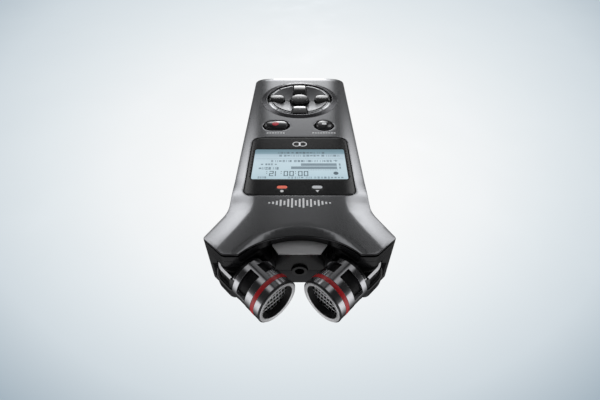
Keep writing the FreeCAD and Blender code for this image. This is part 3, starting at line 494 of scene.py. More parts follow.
def inside(points, loop):
    start = np.array(loop, float)
    end = np.roll(start, -1, 0)
    x, y = points[:, 0:1], points[:, 1:2]
    spans = (start[:, 1] > y) != (end[:, 1] > y)
    with np.errstate(divide="ignore", invalid="ignore"):
        slope = (end[:, 0] - start[:, 0]) * (y - start[:, 1]) / (end[:, 1] - start[:, 1])
        crossing = slope + start[:, 0]
    return (np.sum(spans & (x < crossing), axis=1) % 2) == 1


def distance_to(points, loop):
    """Distance of each point from the closed loop, worked out in batches to save memory."""
    start = np.array(loop, float)
    edge = np.roll(start, -1, 0) - start
    out = np.full(len(points), 1e9)
    for first in range(0, len(points), 2000):
        batch = points[first:first + 2000]
        away = batch[:, None, :] - start[None]
        length2 = np.maximum((edge * edge).sum(1), 1e-12)
        along = np.clip((away * edge[None]).sum(2) / length2[None], 0, 1)
        gap = away - along[:, :, None] * edge[None]
        out[first:first + 2000] = np.sqrt((gap * gap).sum(2)).min(1)
    return out


def fill(outer, holes, spacing, lines=()):
    """Triangulates outer minus holes over a staggered grid, with edges along the open lines.

    Returns points and triangles."""
    points, edges = [], []

    def add(loop, closed=True):
        start, count = len(points), len(loop)
        points.extend(tuple(p) for p in loop)
        for i in range(count if closed else count - 1):
            edges.append((start + i, start + (i + 1) % count))

    for loop in [outer] + holes:
        add(loop)
    for line in lines:
        add(line, closed=False)
    x0, y0 = np.array(outer).min(0)
    x1, y1 = np.array(outer).max(0)
    grid = []
    row = 0
    y = y0 + spacing / 2
    while y < y1:
        x = x0 + (spacing / 2 if row % 2 else spacing)
        while x < x1:
            grid.append((x, y))
            x += spacing
        y += spacing * 0.87
        row += 1
    grid = np.array(grid, float).reshape(-1, 2)
    grid = grid[inside(grid, outer)]
    for hole in holes:
        grid = grid[~inside(grid, hole)]
    for loop in [outer] + holes + list(lines):
        grid = grid[distance_to(grid, loop) > 0.45 * spacing]
    points.extend(tuple(p) for p in grid)
    result = delaunay_2d_cdt([Vector(p) for p in points], edges, [], 0, 1e-6)
    points = np.array([(p.x, p.y) for p in result[0]])
    triangles = np.array([list(face) for face in result[2]])
    centres = points[triangles].mean(1)
    wanted = inside(centres, outer)
    for hole in holes:
        wanted &= ~inside(centres, hole)
    return points, triangles[wanted]


# ---- mesh builders -------------------------------------------------------------------------
def new_object(name, verts, faces, material, body, slot, replaces=None, smooth=40.0):
    """Welded mesh object that rides on a body; smooth is the shading angle in degrees."""
    mesh = bpy.data.meshes.new(name)
    mesh.from_pydata([tuple(float(c) * MM for c in p) for p in verts], [],
                     [tuple(int(i) for i in f) for f in faces])
    mesh.validate()
    mesh.materials.append(material)
    mesh.update()
    bm = bmesh.new()
    bm.from_mesh(mesh)
    bmesh.ops.remove_doubles(bm, verts=bm.verts, dist=1e-7)
    bmesh.ops.recalc_face_normals(bm, faces=bm.faces)
    bm.to_mesh(mesh)
    bm.free()
    mesh.polygons.foreach_set("use_smooth", np.ones(len(mesh.polygons), bool))
    mesh.set_sharp_from_angle(angle=math.radians(smooth))
    ob = bpy.data.objects.new(name, mesh)
    bpy.context.scene.collection.objects.link(ob)
    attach(ob, body)
    if replaces:
        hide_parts(replaces)


def band(first, second):
    """Quads between two closed rings of vertex indices."""
    count = len(first)
    return [(first[i], first[(i + 1) % count], second[(i + 1) % count], second[i])
            for i in range(count)]


def sweep(verts, faces, sections, turned=False):
    """Adds a capped bar through closed sections; turned reverses the winding of its sides."""
    rings = []
    for section in sections:
        rings.append(tuple(range(len(verts), len(verts) + len(section))))
        verts.extend(section)
    for first, second in zip(rings, rings[1:]):
        for a, b, c, d in band(first, second):
            faces.append((a, d, c, b) if turned else (a, b, c, d))
    faces.append(rings[0][::-1])
    faces.append(rings[-1])


def flat(height):
    return lambda x, y: np.full(np.shape(x), float(height))


def slab(name, outer, holes, top, underside, radius, material, body, slot, replaces,
         spacing=1.0, hole_radii=(), segments=5, lines=(), smooth=40.0):
    """Closed plate with rounded top edges.

    top(x, y) gives its height; underside is a height or a function like top."""
    curved = callable(underside)
    under = underside if curved else flat(underside)
    outer = ccw(outer)
    holes = [ccw(hole) for hole in holes]
    verts, faces = [], []

    def add_points(points, heights):
        start = len(verts)
        verts.extend((x, y, z) for (x, y), z in zip(points, heights))
        return start

    def add_ring(points, heights):
        start = add_points(points, heights)
        return range(start, start + len(points))

    top_loops = []
    for loop, edge, side in [(outer, radius, 1.0)] + [(h, r, -1.0)
                                                      for h, r in zip(holes, hole_radii)]:
        base = np.array(loop)
        rings = [add_ring(base, under(base[:, 0], base[:, 1]))]
        steps = range(segments + 1) if edge > 0 else [segments]
        for i in steps:
            angle = math.pi / 2 * i / segments
            moved = offset(loop, side * edge * (1 - math.cos(angle)))
            heights = top(moved[:, 0], moved[:, 1]) - edge * (1 - math.sin(angle))
            rings.append(add_ring(moved, heights))
        for first, second in zip(rings, rings[1:]):
            faces.extend(quad if side > 0 else quad[::-1] for quad in band(first, second))
        top_loops.append([tuple(p) for p in moved])
    points, triangles = fill(top_loops[0], top_loops[1:], spacing, lines)
    start = add_points(points, top(points[:, 0], points[:, 1]))
    faces.extend(triangles + start)
    points, triangles = fill(outer, holes, spacing * 1.5 if curved else max(spacing * 3, 2.0))
    start = add_points(points, under(points[:, 0], points[:, 1]))
    faces.extend(triangles[:, ::-1] + start)
    new_object(name, verts, faces, material, body, slot, replaces, smooth)


def lathe(name, profile, axes, count, material, body, slot, replaces=None, smooth=38.0):
    """Revolves a closed (distance along the axis, radius) profile.

    axes holds the origin, the axis and two directions square to it."""
    origin, axis, first, second = (np.array(a, float) for a in axes)
    verts, faces = [], []
    size = len(profile)
    for i in range(count):
        angle = 2 * math.pi * i / count
        outward = first * math.cos(angle) + second * math.sin(angle)
        verts += [origin + axis * along + outward * radius for along, radius in profile]
    rings = [range(i * size, (i + 1) * size) for i in range(count)]
    for i in range(count):
        faces += band(rings[i], rings[(i + 1) % count])
    new_object(name, verts, faces, material, body, slot, replaces, smooth)


def plates(name, loops, bottom, material, slot):
    """Thin flat plates on the root body, one per loop."""
    verts, faces = [], []
    for loop in loops:
        loop = ccw(loop)
        start, count = len(verts), len(loop)
        for height in (bottom, bottom + 0.03):
            verts += [(x, y, height) for x, y in loop]
        low = tuple(range(start, start + count))
        high = tuple(range(start + count, start + 2 * count))
        faces += [low[::-1], high] + band(low, high)
    new_object(name, verts, faces, material, "root", slot, smooth=20.0)


def drape(name, loops, top, material, body, slot, lift=0.012, depth=0.08):
    """Marks that follow a curved surface: closed shells standing lift proud of top(x, y)."""
    spacing = 0.35
    verts, faces = [], []
    for loop in loops:
        points, triangles = fill(densify(ccw(loop), spacing), [], spacing)
        heights = top(points[:, 0], points[:, 1]) + lift
        start, count = len(verts), len(points)
        for drop in (0.0, depth):
            verts += [(x, y, z - drop) for (x, y), z in zip(points, heights)]
        edges = []
        for a, b, c in triangles:
            faces.append((start + a, start + b, start + c))
            faces.append((start + count + c, start + count + b, start + count + a))
            edges += [(a, b), (b, c), (c, a)]
        known = set(edges)
        for a, b in edges:
            if (b, a) not in known:
                faces.append((start + b, start + a, start + count + a, start + count + b))
    new_object(name, verts, faces, material, body, slot, smooth=30.0)


# ---- CAD pieces ----------------------------------------------------------------------------
def collect_slots(entry, slots):
    """Gathers the slot of every piece named anywhere in the record."""
    if isinstance(entry, dict):
        name = entry.get("node") or entry.get("name")
        slot = entry.get("material_slot") or entry.get("slot")
        if isinstance(name, str) and isinstance(slot, str):
            slots[name] = slot
        entry = list(entry.values())
    if isinstance(entry, list):
        for item in entry:
            collect_slots(item, slots)


def dress_cad_pieces():
    """Gives the CAD pieces their materials and smooth, welded shading."""
    slots = {}
    collect_slots(frame["record"], slots)
    for name, ob in frame["nodes"].items():
        material = PIECE_MATERIAL.get(name) or SLOT_MATERIAL.get(slots.get(name, ""), MATTE)
        mesh = ob.data
        if not mesh.materials:
            mesh.materials.append(material)
        for i in range(len(mesh.materials)):
            mesh.materials[i] = material
        stored_normals = mesh.attributes.get("custom_normal")
        if stored_normals is not None:
            mesh.attributes.remove(stored_normals)
        mesh.polygons.foreach_set("use_smooth", np.ones(len(mesh.polygons), bool))
        weld = ob.modifiers.new("weld", "WELD")
        weld.merge_threshold = 2e-6
        split = ob.modifiers.new("edges", "EDGE_SPLIT")
        split.split_angle = math.radians(32)
        split.use_edge_sharp = False


dress_cad_pieces()

# ---- face panel ----------------------------------------------------------------------------
# crease on each side of the face: y in foot coordinates, distance from the centre line
CREASE = [(-141.0, 31.1), (-136.9, 28.9), (-132.7, 26.6), (-125.2, 22.4),
          (-118.2, 18.9), (-113.8, 18.3), (-108.0, 18.4), (-95.0, 18.6)]
CREASE_Y, CREASE_X = np.array(CREASE).T
# outline on the +X side from the foot end to the -Y edge: x, y in foot coordinates, radius
FRONT_EDGE = -139.2
SIDE_CORNERS = [(27.7, FOOT_END, 5.7), (27.7, -118.1, 14.0), (34.9, -131.4, 1.3),
                (26.7, FRONT_EDGE, 3.0)]
# arch cut into the -Y edge and the shallow crescent around it; centres in foot coordinates
ARCH_RADIUS, ARCH_CENTRE = 28.0, -157.7
CRESCENT_RADIUS, CRESCENT_CENTRE = 26.3, -152.3
FACE_THICKNESS = 0.62
FOOT_ROLL = 4.6


def smoothstep(start, end, x):
    t = np.clip((x - start) / (end - start), 0.0, 1.0)
    return t * t * (3 - 2 * t)


def softplus(value, width):
    """Ramp from zero whose bend is rounded over the width."""
    return width * np.logaddexp(0.0, value / width)


def face_top(x, y):
    x = np.asarray(x, float)
    along = np.asarray(y, float) - FOOT_Y
    across = np.abs(x)
    # soft crowning by the foot and display, a crisp crease towards the shoulders
    soft = 1.0 * (np.clip(across - 14.5, 0, None) / 13.2) ** 2.3
    past = across - np.interp(along, CREASE_Y, CREASE_X)
    slope = 0.020 + 0.036 * smoothstep(-106.0, -117.0, along)
    crisp = slope * softplus(past, 0.10) + 0.0038 * np.clip(past, 0, None) ** 2
    share = smoothstep(-98.0, -110.0, along)
    z = FACE_Z - (1 - share) * soft - share * crisp
    # shallow crescent on the +Y side of the arch, softer away from the centre line
    depth = CRESCENT_RADIUS - np.hypot(x, along - CRESCENT_CENTRE)
    width = 0.12 + 0.35 * (1 - smoothstep(0.0, 12.0, across))
    z = z - (0.20 + 0.27 * (1 - smoothstep(5.0, 21.0, across))) * softplus(depth, width)
    # the foot end edge rolls over gently
    return z - 0.42 * (np.clip(along - (FOOT_END - FOOT_ROLL), 0, None) / FOOT_ROLL) ** 2


def face_underside(x, y):
    return face_top(x, y) - FACE_THICKNESS


def case_outline(step):
    """Plan outline of the case with the arch between the shoulders."""
    mirrored = [(-x, y, radius) for x, y, radius in reversed(SIDE_CORNERS)]
    loop = round_loop(SIDE_CORNERS + mirrored, step)
    rise = FRONT_EDGE - ARCH_CENTRE
    half = math.sqrt(ARCH_RADIUS ** 2 - rise ** 2)
    kept = ccw([(x, y) for x, y in loop if not (abs(y - FRONT_EDGE) < 1e-6 and abs(x) < half)])
    out = []
    for i, point in enumerate(kept):
        following = kept[(i + 1) % len(kept)]
        out.append(point)
        on_edge = all(abs(y - FRONT_EDGE) < 0.5 for x, y in (point, following))
        # the arch goes in where the loop jumps across the front edge
        if on_edge and point[0] < 0 < following[0]:
            start, end = math.atan2(rise, -half), math.atan2(rise, half)
            count = int(abs(end - start) * ARCH_RADIUS / step)
            out += arc_points(0, ARCH_CENTRE, ARCH_RADIUS, start, end, count)
    return [(x, FOOT_Y + y) for x, y in out]


def crease_line(side, shift):
    """Line along the crease, shifted away from the centre line."""
    start, end, count = -110.5, -137.4, 44
    line = []
    for i in range(count + 1):
        y = start + (end - start) * i / count
        line.append((side * (float(np.interp(y, CREASE_Y, CREASE_X)) + shift), FOOT_Y + y))
    return line


# mesh lines on both sides of the creases and of the crescent's rim keep the bends crisp
face_lines = [crease_line(side, shift) for side in (-1, 1) for shift in (-0.28, 0.28)]
face_lines += [arc_points(0, FOOT_Y + CRESCENT_CENTRE, CRESCENT_RADIUS + shift,
                          math.radians(52), math.radians(128), 60) for shift in (-0.25, 0.35)]
face_holes = [
    round_box(WINDOW_LO, WINDOW_HI, radius=3.6, step=0.8, grow=0.22),
    round_box(RECORD_LO, RECORD_HI, radius=4.8, step=0.45, grow=0.75),
    circle(STOP_X, STOP_Y, 5.05, 56),
    circle(PAD_X, PAD_Y, 20.2, 110),
]
slab("face_skin", case_outline(step=0.7), face_holes, face_top, face_underside, 0.32, FACE,
     "root", "face_paint", "face_panel", spacing=1.05, hole_radii=[0.12, 0.5, 0.5, 0.1],
     segments=6, lines=face_lines, smooth=50.0)


# ---- display -------------------------------------------------------------------------------
def window_top(x, y):
    return WINDOW_Z - 0.25 * (np.clip(np.abs(np.asarray(x, float)) - 18.0, 0, None) / 5.5) ** 2


lens_holes = [round_box(*node_box(node), radius=0.93, step=0.25, grow=0.06)
              for node in ("rec_light", "peak_light")]
lcd_outline = round_box((-LCD_HALF_WIDTH, LCD_Y0), (LCD_HALF_WIDTH, LCD_Y1),
                        radius=0.9, step=0.8)
slab("window_plate", round_box(WINDOW_LO, WINDOW_HI, radius=3.4, step=0.8),
     [lcd_outline] + lens_holes, window_top, float(WINDOW_LO[2]), 0.22, WINDOW, "root",
     "window_black", "display_window", spacing=1.2, hole_radii=[0.04, 0.05, 0.05], segments=3,
     smooth=45.0)
slab("lcd_panel", lcd_outline, [], flat(WINDOW_Z - 0.05), WINDOW_Z - 0.6, 0.0, LCD, "root",
     "lcd_blue", "lcd_module", spacing=3.0, smooth=45.0)


# ---- marks on the display ------------------------------------------------------------------
# Rows run towards -X and their tops point to -Y, so they read upright from the foot end.
def dashes(x0, x1, y0, y1, seed, width, gap, word=0.18):
    """Row of blocks and bars standing for fine print, from x1 down to x0, y0 to y1.

    word is the chance of a wider gap after a block."""
    rng = np.random.RandomState(seed)
    out = []
    x = x1
    while x > x0 + 0.3:
        block = rng.uniform(*width)
        end = x - block
        if end < x0:
            break
        kind = rng.randint(4)
        stem = min(0.26, 0.45 * block)
        middle = 0.5 * (y0 + y1)
        bar = 0.16 * abs(y1 - y0) + 0.06
        if kind == 0 or block < 0.5:
            out.append(foot_box(end, y0, x, y1))
        elif kind == 1:
            out.append(foot_box(end, y0, x, y0 - 2.0 * bar))
            out.append(foot_box(end, y1 + 2.0 * bar, x, y1))
        elif kind == 2:
            out.append(foot_box(end, middle + 1.6 * bar, x, middle - 1.6 * bar))
        else:
            out.append(foot_box(x - stem, y0, x, y1))
            out.append(foot_box(end, y0, end + stem, y1))
        x -= block + rng.uniform(*gap)
        if rng.rand() < word:
            x -= 0.6
    return out


# bars of each digit: a foot, g middle, d head, f and e one side, b and c the other
DIGIT_BARS = {"0": "abcdef", "1": "bc", "2": "abged"}


def digit(character, x, y):
    """Slim seven-bar digit that extends from (x, y) towards -X and -Y."""
    width, height, stroke, gap = 1.9, 3.45, 0.42, 0.06
    half = height / 2
    right = width - stroke
    bars = {"a": (gap, height - stroke, width - gap, height),
            "b": (right, half + gap, width, height - gap),
            "c": (right, gap, width, half - gap),
            "d": (gap, 0, width - gap, stroke),
            "e": (0, gap, stroke, half - gap),
            "f": (0, half + gap, stroke, height - gap),
            "g": (gap, half - stroke / 2, width - gap, half + stroke / 2)}
    return [box(x - x0, y - y0, x - x1, y - y1)
            for x0, y0, x1, y1 in (bars[bar] for bar in DIGIT_BARS[character])]


def time_digits():
    """The time, each pair of digits followed by two dots."""
    loops = []
    x, y = 3.75, FOOT_Y - 93.45
    for character in "00 00 12 ":
        if character == " ":
            for top in (0.05, 1.3):
                loops.append(box(x - 0.35, y - top, x - 0.7, y - (top + 0.5)))
            x -= 1.3
        else:
            loops += digit(character, x, y)
            x -= 2.5
    return loops


def fine_rows():
    text = dict(width=(0.9, 1.3), gap=(0.35, 0.5))
    loops = dashes(-10.6, 18.3, -81.3, -82.7, seed=5, word=0.22, **text)
    loops += dashes(-13.0, 14.6, -85.4, -86.9, seed=7, **text)
    loops += [foot_box(15.4, -85.6, 17.2, -86.0), foot_box(16.2, -85.3, 16.7, -86.7)]
    loops += dashes(-18.7, -10.3, -88.0, -89.2, seed=9, width=(0.8, 1.1), gap=(0.3, 0.4))
    loops += dashes(-18.3, -9.3, -90.6, -92.4, seed=11, width=(0.9, 1.2), gap=(0.3, 0.4))
    loops += dashes(-5.5, 18.8, -97.3, -98.5, seed=13, width=(0.7, 1.0), gap=(0.5, 0.7),
                    word=0.3)
    loops += dashes(-18.3, -14.4, -97.2, -98.5, seed=15, width=(0.6, 0.8), gap=(0.25, 0.3),
                    word=0.0)
    loops += [foot_box(17.6, -88.0, 18.3, -89.5), foot_box(17.6, -90.3, 18.3, -91.8)]
    # tick marks beside the level bars
    for i in range(18):
        x = 16.4 - 0.75 * i
        loops.append(foot_box(x, -92.5, x + 0.3, -92.85))
    return loops


level_bars = [foot_box(0.6, -87.9, 16.6, -89.7), foot_box(-3.8, -90.2, 16.6, -92.0)]
header_marks = dashes(-11.2, 11.5, -79.1, -80.4, seed=3, width=(0.9, 1.3), gap=(0.35, 0.5),
                      word=0.25)
for name, loops, ink in (
        ("lcd_level_bars", level_bars, LIGHT_INK),
        ("lcd_fine_rows", fine_rows(), LIGHT_INK),
        ("lcd_header_marks", header_marks, INK),
        ("lcd_rule", [foot_box(-20.0, -84.35, 20.0, -84.47)], LIGHT_INK),
        ("lcd_record_dot", [circle(15.8, FOOT_Y - 94.95, 1.1, 32)], INK),
        ("lcd_time_digits", time_digits(), INK)):
    plates(name, loops, WINDOW_Z - 0.055, ink, "lcd_blue")

# ---- printed marks on the window and the face ----------------------------------------------
WINDOW_PRINT_Z = WINDOW_Z - 0.01
WAVE_HEIGHTS = [0.7, 1.3, 2.3, 3.6, 2.4, 4.3, 5.2, 3.0, 4.6, 5.4, 3.2, 4.4, 2.2, 3.4, 2.0, 1.2,
                0.7]


def two_rings():
    """Two overlapping rings, each made of short quads."""
    inner, outer, count = 1.45, 2.0, 28
    y = FOOT_Y - 72.6
    loops = []
    for x in (-1.5, 1.5):
        for i in range(count):
            start, end = 2 * math.pi * i / count, 2 * math.pi * (i + 1) / count
            corners = ((inner, start), (outer, start), (outer, end), (inner, end))
            loops.append([(x + r * math.cos(a), y + r * math.sin(a)) for r, a in corners])
    return loops


def wave_bars():
    """Row of upright bars of varying length."""
    pitch, width = 1.5, 0.72
    middle = (len(WAVE_HEIGHTS) - 1) / 2
    loops = []
    for i, height in enumerate(WAVE_HEIGHTS):
        x, y = (i - middle) * pitch, FOOT_Y - 113.9
        loops.append(box(x - width / 2, y - height / 2, x + width / 2, y + height / 2))
    return loops


plates("stereo_mark", two_rings(), WINDOW_PRINT_Z, WHITE_PRINT, "window_black")
light_triangle = [(6.5, FOOT_Y - 106.1), (8.1, FOOT_Y - 106.1), (7.3, FOOT_Y - 107.4)]
plates("light_marks", [circle(-7.3, FOOT_Y - 106.7, 0.7, 24), light_triangle], WINDOW_PRINT_Z,
       WHITE_PRINT, "window_black")
drape("wave_mark", wave_bars(), face_top, WHITE_PRINT, "root", "face_paint")
for name, start, end in (("record_label_rule", -16.6, -7.4), ("stop_label_rule", 6.3, 17.6)):
    dash_row = [foot_box(x, -62.3, x + 0.95, -63.5) for x in np.arange(start, end, 1.35)]
    drape(name, dash_row, face_top, PALE_PRINT, "root", "face_paint")


# ---- record and stop buttons ---------------------------------------------------------------
def crown(centre_x, centre_y, height, half_x, half_y, drop_x, drop_y):
    """Crowned key top that falls by drop_x and drop_y at its half widths."""
    def top(x, y):
        across = np.abs((np.asarray(x) - centre_x) / half_x)
        along = np.abs((np.asarray(y) - centre_y) / half_y)
        return height - drop_x * across ** 2.0 - drop_y * along ** 2.0
    return top


def key_cap(name, outline, top, underside, radius, node, slot="key_black", spacing=0.5,
            segments=5):
    slab(name, outline, [], top, underside, radius, KEY, node, slot, node, spacing=spacing,
         segments=segments, smooth=60.0)


record_top = crown(RECORD_X, RECORD_Y, RECORD_HI[2], half_x=6.1, half_y=4.1,
                   drop_x=0.22, drop_y=0.62)
key_cap("record_key_cap", round_box(RECORD_LO, RECORD_HI, radius=4.05, step=0.4), record_top,
        float(RECORD_LO[2]), 0.75, "record_button", "black_gloss", spacing=0.55, segments=6)
drape("record_dot", [circle(RECORD_X - 0.4, RECORD_Y + 0.3, 1.75, 36)], record_top, RED_PRINT,
      "record_button", "black_gloss", lift=0.015, depth=0.1)

STOP_RADIUS = 4.35
stop_top = crown(STOP_X, STOP_Y, STOP_HI[2], half_x=STOP_RADIUS, half_y=STOP_RADIUS,
                 drop_x=0.5, drop_y=0.5)
key_cap("stop_key_cap", circle(STOP_X, STOP_Y, STOP_RADIUS, 72), stop_top, float(STOP_LO[2]),
        0.75, "stop_button", "black_gloss", segments=6)
drape("stop_square", [box(STOP_X - 1.1, STOP_Y - 0.6, STOP_X + 1.1, STOP_Y + 1.3)], stop_top,
      WHITE_PRINT, "stop_button", "black_gloss", lift=0.015, depth=0.1)

# ---- control pad: bezel and ring -----------------------------------------------------------
PAD_AXES = ((PAD_X, PAD_Y, 0), (0, 0, 1), (1, 0, 0), (0, 1, 0))
RING_OUTER, RING_INNER = 18.4, 16.15
# closed section of the ring: radius, height
RING_SECTION = [
    (RING_INNER, 24.0), (RING_OUTER, 24.0), (RING_OUTER, 24.86), (RING_OUTER - 0.05, 24.95),
    (RING_OUTER - 0.16, 25.02), (RING_OUTER - 1.0, 25.17), (RING_INNER + 0.55, 25.285),
    (RING_INNER + 0.36, 25.30), (RING_INNER + 0.18, 25.26), (RING_INNER + 0.06, 25.17),
    (RING_INNER, 25.02),
]


def bezel_profile():
    """Height and radius: outer wall, six turned steps that climb inwards, rounded bore edge."""
    profile = [(BEZEL_BASE, 19.0), (BEZEL_BASE, 19.62), (24.3, 19.62), (24.3, 21.95),
               (24.98, 21.95), (25.06, 21.88)]
    for i in range(6):
        radius, height = 21.7 - i * 0.36, 25.08 + i * 0.075
        profile += [(height, radius), (height + 0.062, radius - 0.27),
                    (height + 0.03, radius - 0.31)]
    return profile + [(25.54, 19.5), (25.58, 19.3), (25.60, 19.0), (25.56, 18.82),
                      (25.46, 18.72), (25.3, 18.68), (BEZEL_BASE + 0.4, 18.68)]


def ring_arcs():
    """Eight ring arcs between the four key channels and the four narrow diagonal gaps."""
    # angle of each channel in degrees, its half width
    channels = {0: 4.3, 90: 4.1, 180: 4.3, 270: 4.65}
    gap_radius, gap_half_width, steps = 17.2, 0.33, 18
    cuts = [(angle, math.degrees(math.asin((half + 0.05) / gap_radius)))
            for angle, half in channels.items()]
    cuts += [(angle, math.degrees(gap_half_width / gap_radius)) for angle in (45, 135, 225, 315)]
    cuts.sort()
    verts, faces = [], []
    for i, (angle, half) in enumerate(cuts):
        next_angle, next_half = cuts[(i + 1) % len(cuts)]
        if next_angle < angle:
            next_angle += 360
        start, end = math.radians(angle + half), math.radians(next_angle - next_half)
        sections = []
        for j in range(steps + 1):
            turn = start + (end - start) * j / steps
            sections.append([(PAD_X + r * math.cos(turn), PAD_Y + r * math.sin(turn), z)
                             for r, z in RING_SECTION])
        sweep(verts, faces, sections, turned=True)
    new_object("pad_ring_arcs", verts, faces, PAD_RING, "root", "pad_silver", "pad_ring")


lathe("pad_bezel_turned", bezel_profile(), PAD_AXES, 160, BEZEL, "root", "face_paint",
      "pad_bezel", smooth=28.0)
ring_arcs()
ring_base = [(RING_BASE, RING_INNER + 0.05), (RING_BASE, RING_OUTER - 0.02),
             (23.98, RING_OUTER - 0.02), (23.98, RING_INNER + 0.05)]
lathe("pad_ring_base", ring_base, PAD_AXES, 96, MATTE, "root", "pad_silver", smooth=40.0)

# ---- control pad: keys ---------------------------------------------------------------------
ARM_KEY_Z = 25.88
# two triangles and a bar, as offsets that point away from the pad's centre
SKIP_MARK = [[(-1.5, 0.9), (-1.5, -0.9), (0.0, 0.0)], [(0.0, 0.9), (0.0, -0.9), (1.5, 0.0)],
             [(1.55, 0.9), (1.55, -0.9), (1.9, -0.9), (1.9, 0.9)]]


def skip_key(node, side):
    """Key on the -X or +X arm of the pad: round inner end, convex across."""
    inner, outer, half_width = 8.8, 17.5, 4.0
    corners = [(PAD_X + side * x, PAD_Y + y, radius) for x, y, radius in (
        (inner, -half_width, 3.5), (outer, -half_width, 0.7),
        (outer, half_width, 0.7), (inner, half_width, 3.5))]

    def top(x, y):
        out = (np.asarray(x) - PAD_X) * side
        along = (np.asarray(y) - PAD_Y) / half_width
        far = np.clip(along + 0.05, 0, None)
        near = np.clip(-0.05 - along, 0, None)
        return (ARM_KEY_Z - 0.34 * far ** 1.5 - 0.16 * near - 0.62 * near ** 2
                - 0.25 * np.clip((11.6 - out) / 2.8, 0, None) ** 2
                - 0.12 * np.clip((out - 15.5) / 2.0, 0, None) ** 2)

    key_cap(node + "_cap", round_loop(corners[::side], 0.4), top, KEY_BASE, 0.5, node)
    mark_x = PAD_X + side * 13.0
    mark = [[(mark_x + side * x, PAD_Y + y) for x, y in loop] for loop in SKIP_MARK]
    drape(node + "_mark", mark, top, GREY_PRINT, node, "key_black")


def level_key(node, side, ends, crest, inner_fall, outer_fall, mark_y, plus):
    """Key on the -Y or +Y arm of the pad, highest at the crest.

    ends holds its -Y and +Y ends: half width, y from the pad's centre, corner radius."""
    (half0, y0, radius0), (half1, y1, radius1) = ends
    corners = [(PAD_X - half0, PAD_Y + y0, radius0), (PAD_X + half0, PAD_Y + y0, radius0),
               (PAD_X + half1, PAD_Y + y1, radius1), (PAD_X - half1, PAD_Y + y1, radius1)]

    def top(x, y):
        out = (np.asarray(y) - PAD_Y) * side
        across = (np.asarray(x) - PAD_X) / 3.8
        inner = np.clip(crest - out, 0, None)
        outer = np.clip(out - crest, 0, None)
        return (ARM_KEY_Z - 0.08 * np.abs(across) ** 3.0 - inner_fall * inner ** 1.8
                - outer_fall * outer ** 2)

    key_cap(node + "_cap", round_loop(corners, 0.4), top, KEY_BASE, 0.4, node)
    y = PAD_Y + mark_y
    mark = [box(PAD_X - 0.85, y - 0.17, PAD_X + 0.85, y + 0.17)]
    if plus:
        mark += [box(PAD_X - 0.17, y + 0.18, PAD_X + 0.17, y + 0.85),
                 box(PAD_X - 0.17, y - 0.85, PAD_X + 0.17, y - 0.18)]
    drape(node + "_mark", mark, top, GREY_PRINT, node, "key_black")


def play_key():
    """Round key in the middle, marked with a triangle and two bars."""
    radius = 5.3
    top = crown(PAD_X, PAD_Y, 25.84, half_x=radius, half_y=radius, drop_x=0.30, drop_y=0.46)
    key_cap("play_key_cap", circle(PAD_X, PAD_Y, radius, 84), top, KEY_BASE, 0.7, "play_key",
            segments=6)
    mark = [[(PAD_X + 1.3, PAD_Y - 0.8), (PAD_X + 1.3, PAD_Y + 0.8), (PAD_X - 0.1, PAD_Y)]]
    mark += [box(PAD_X - x0, PAD_Y - 0.8, PAD_X - x1, PAD_Y + 0.8)
             for x0, x1 in ((0.5, 0.8), (1.1, 1.4))]
    drape("play_key_mark", mark, top, GREY_PRINT, "play_key", "key_black")


skip_key("skip_back_key", side=-1)
skip_key("skip_forward_key", side=1)
level_key("minus_key", side=1, ends=((3.75, 6.7, 1.0), (3.75, 17.7, 0.7)), crest=11.2,
          inner_fall=0.075, outer_fall=0.016, mark_y=13.6, plus=False)
level_key("plus_key", side=-1, ends=((4.3, -17.5, 0.6), (3.4, -7.2, 2.4)), crest=13.0,
          inner_fall=0.050, outer_fall=0.010, mark_y=-13.2, plus=True)
play_key()

# ---- microphones ---------------------------------------------------------------------------
# distance from the pivot to the mouth, along the axis
MIC_REACH = 22.5
# profiles: distance along the axis from the mouth (negative is inside), radius
RIM_PROFILE = [
    (-1.2, 6.82), (-1.2, 7.25), (-0.62, 7.25), (-0.58, 7.7), (-0.34, 7.74), (-0.26, 7.98),
    (-0.10, 8.04), (-0.02, 7.98), (0.0, 7.86), (-0.02, 7.7), (-0.10, 6.98), (-0.16, 6.88),
    (-0.30, 6.82),
]
RED_BAND_PROFILE = [(-4.93, 7.95), (-4.93, 8.28), (-4.84, 8.42), (-4.7, 8.46), (-3.5, 8.46),
                    (-3.36, 8.42), (-3.27, 8.28), (-3.27, 7.95)]
GROOVE_PROFILE = [(-0.98, 8.2), (-0.94, 8.41), (-0.86, 8.46), (-0.48, 8.46), (-0.38, 8.36),
                  (-0.36, 8.1), (-0.5, 8.06)]
RECESS_PROFILE = [(-3.35, 6.62), (-3.35, 7.1), (-1.22, 7.1), (-1.22, 6.80), (-0.42, 6.80),
                  (-0.34, 6.72), (-0.34, 6.66), (-0.42, 6.62)]
CLOTH_PROFILE = [(-3.72, 0.05), (-3.72, 6.6), (-3.52, 6.6), (-3.48, 6.3), (-3.46, 0.05)]
SLAT_PITCH = 1.36


def screen_profile():
    """Sleeve with fourteen ribs."""
    ribs = 14
    profile = [(-12.9, 6.3), (-12.9, 7.0)]
    for i in range(ribs):
        start = -12.8 + i * (5.5 / ribs)
        profile += [(start, 6.9), (start + 0.13, 7.12), (start + 0.27, 7.12),
                    (start + 0.38, 6.9)]
    return profile + [(-7.2, 7.0), (-7.2, 6.3)]


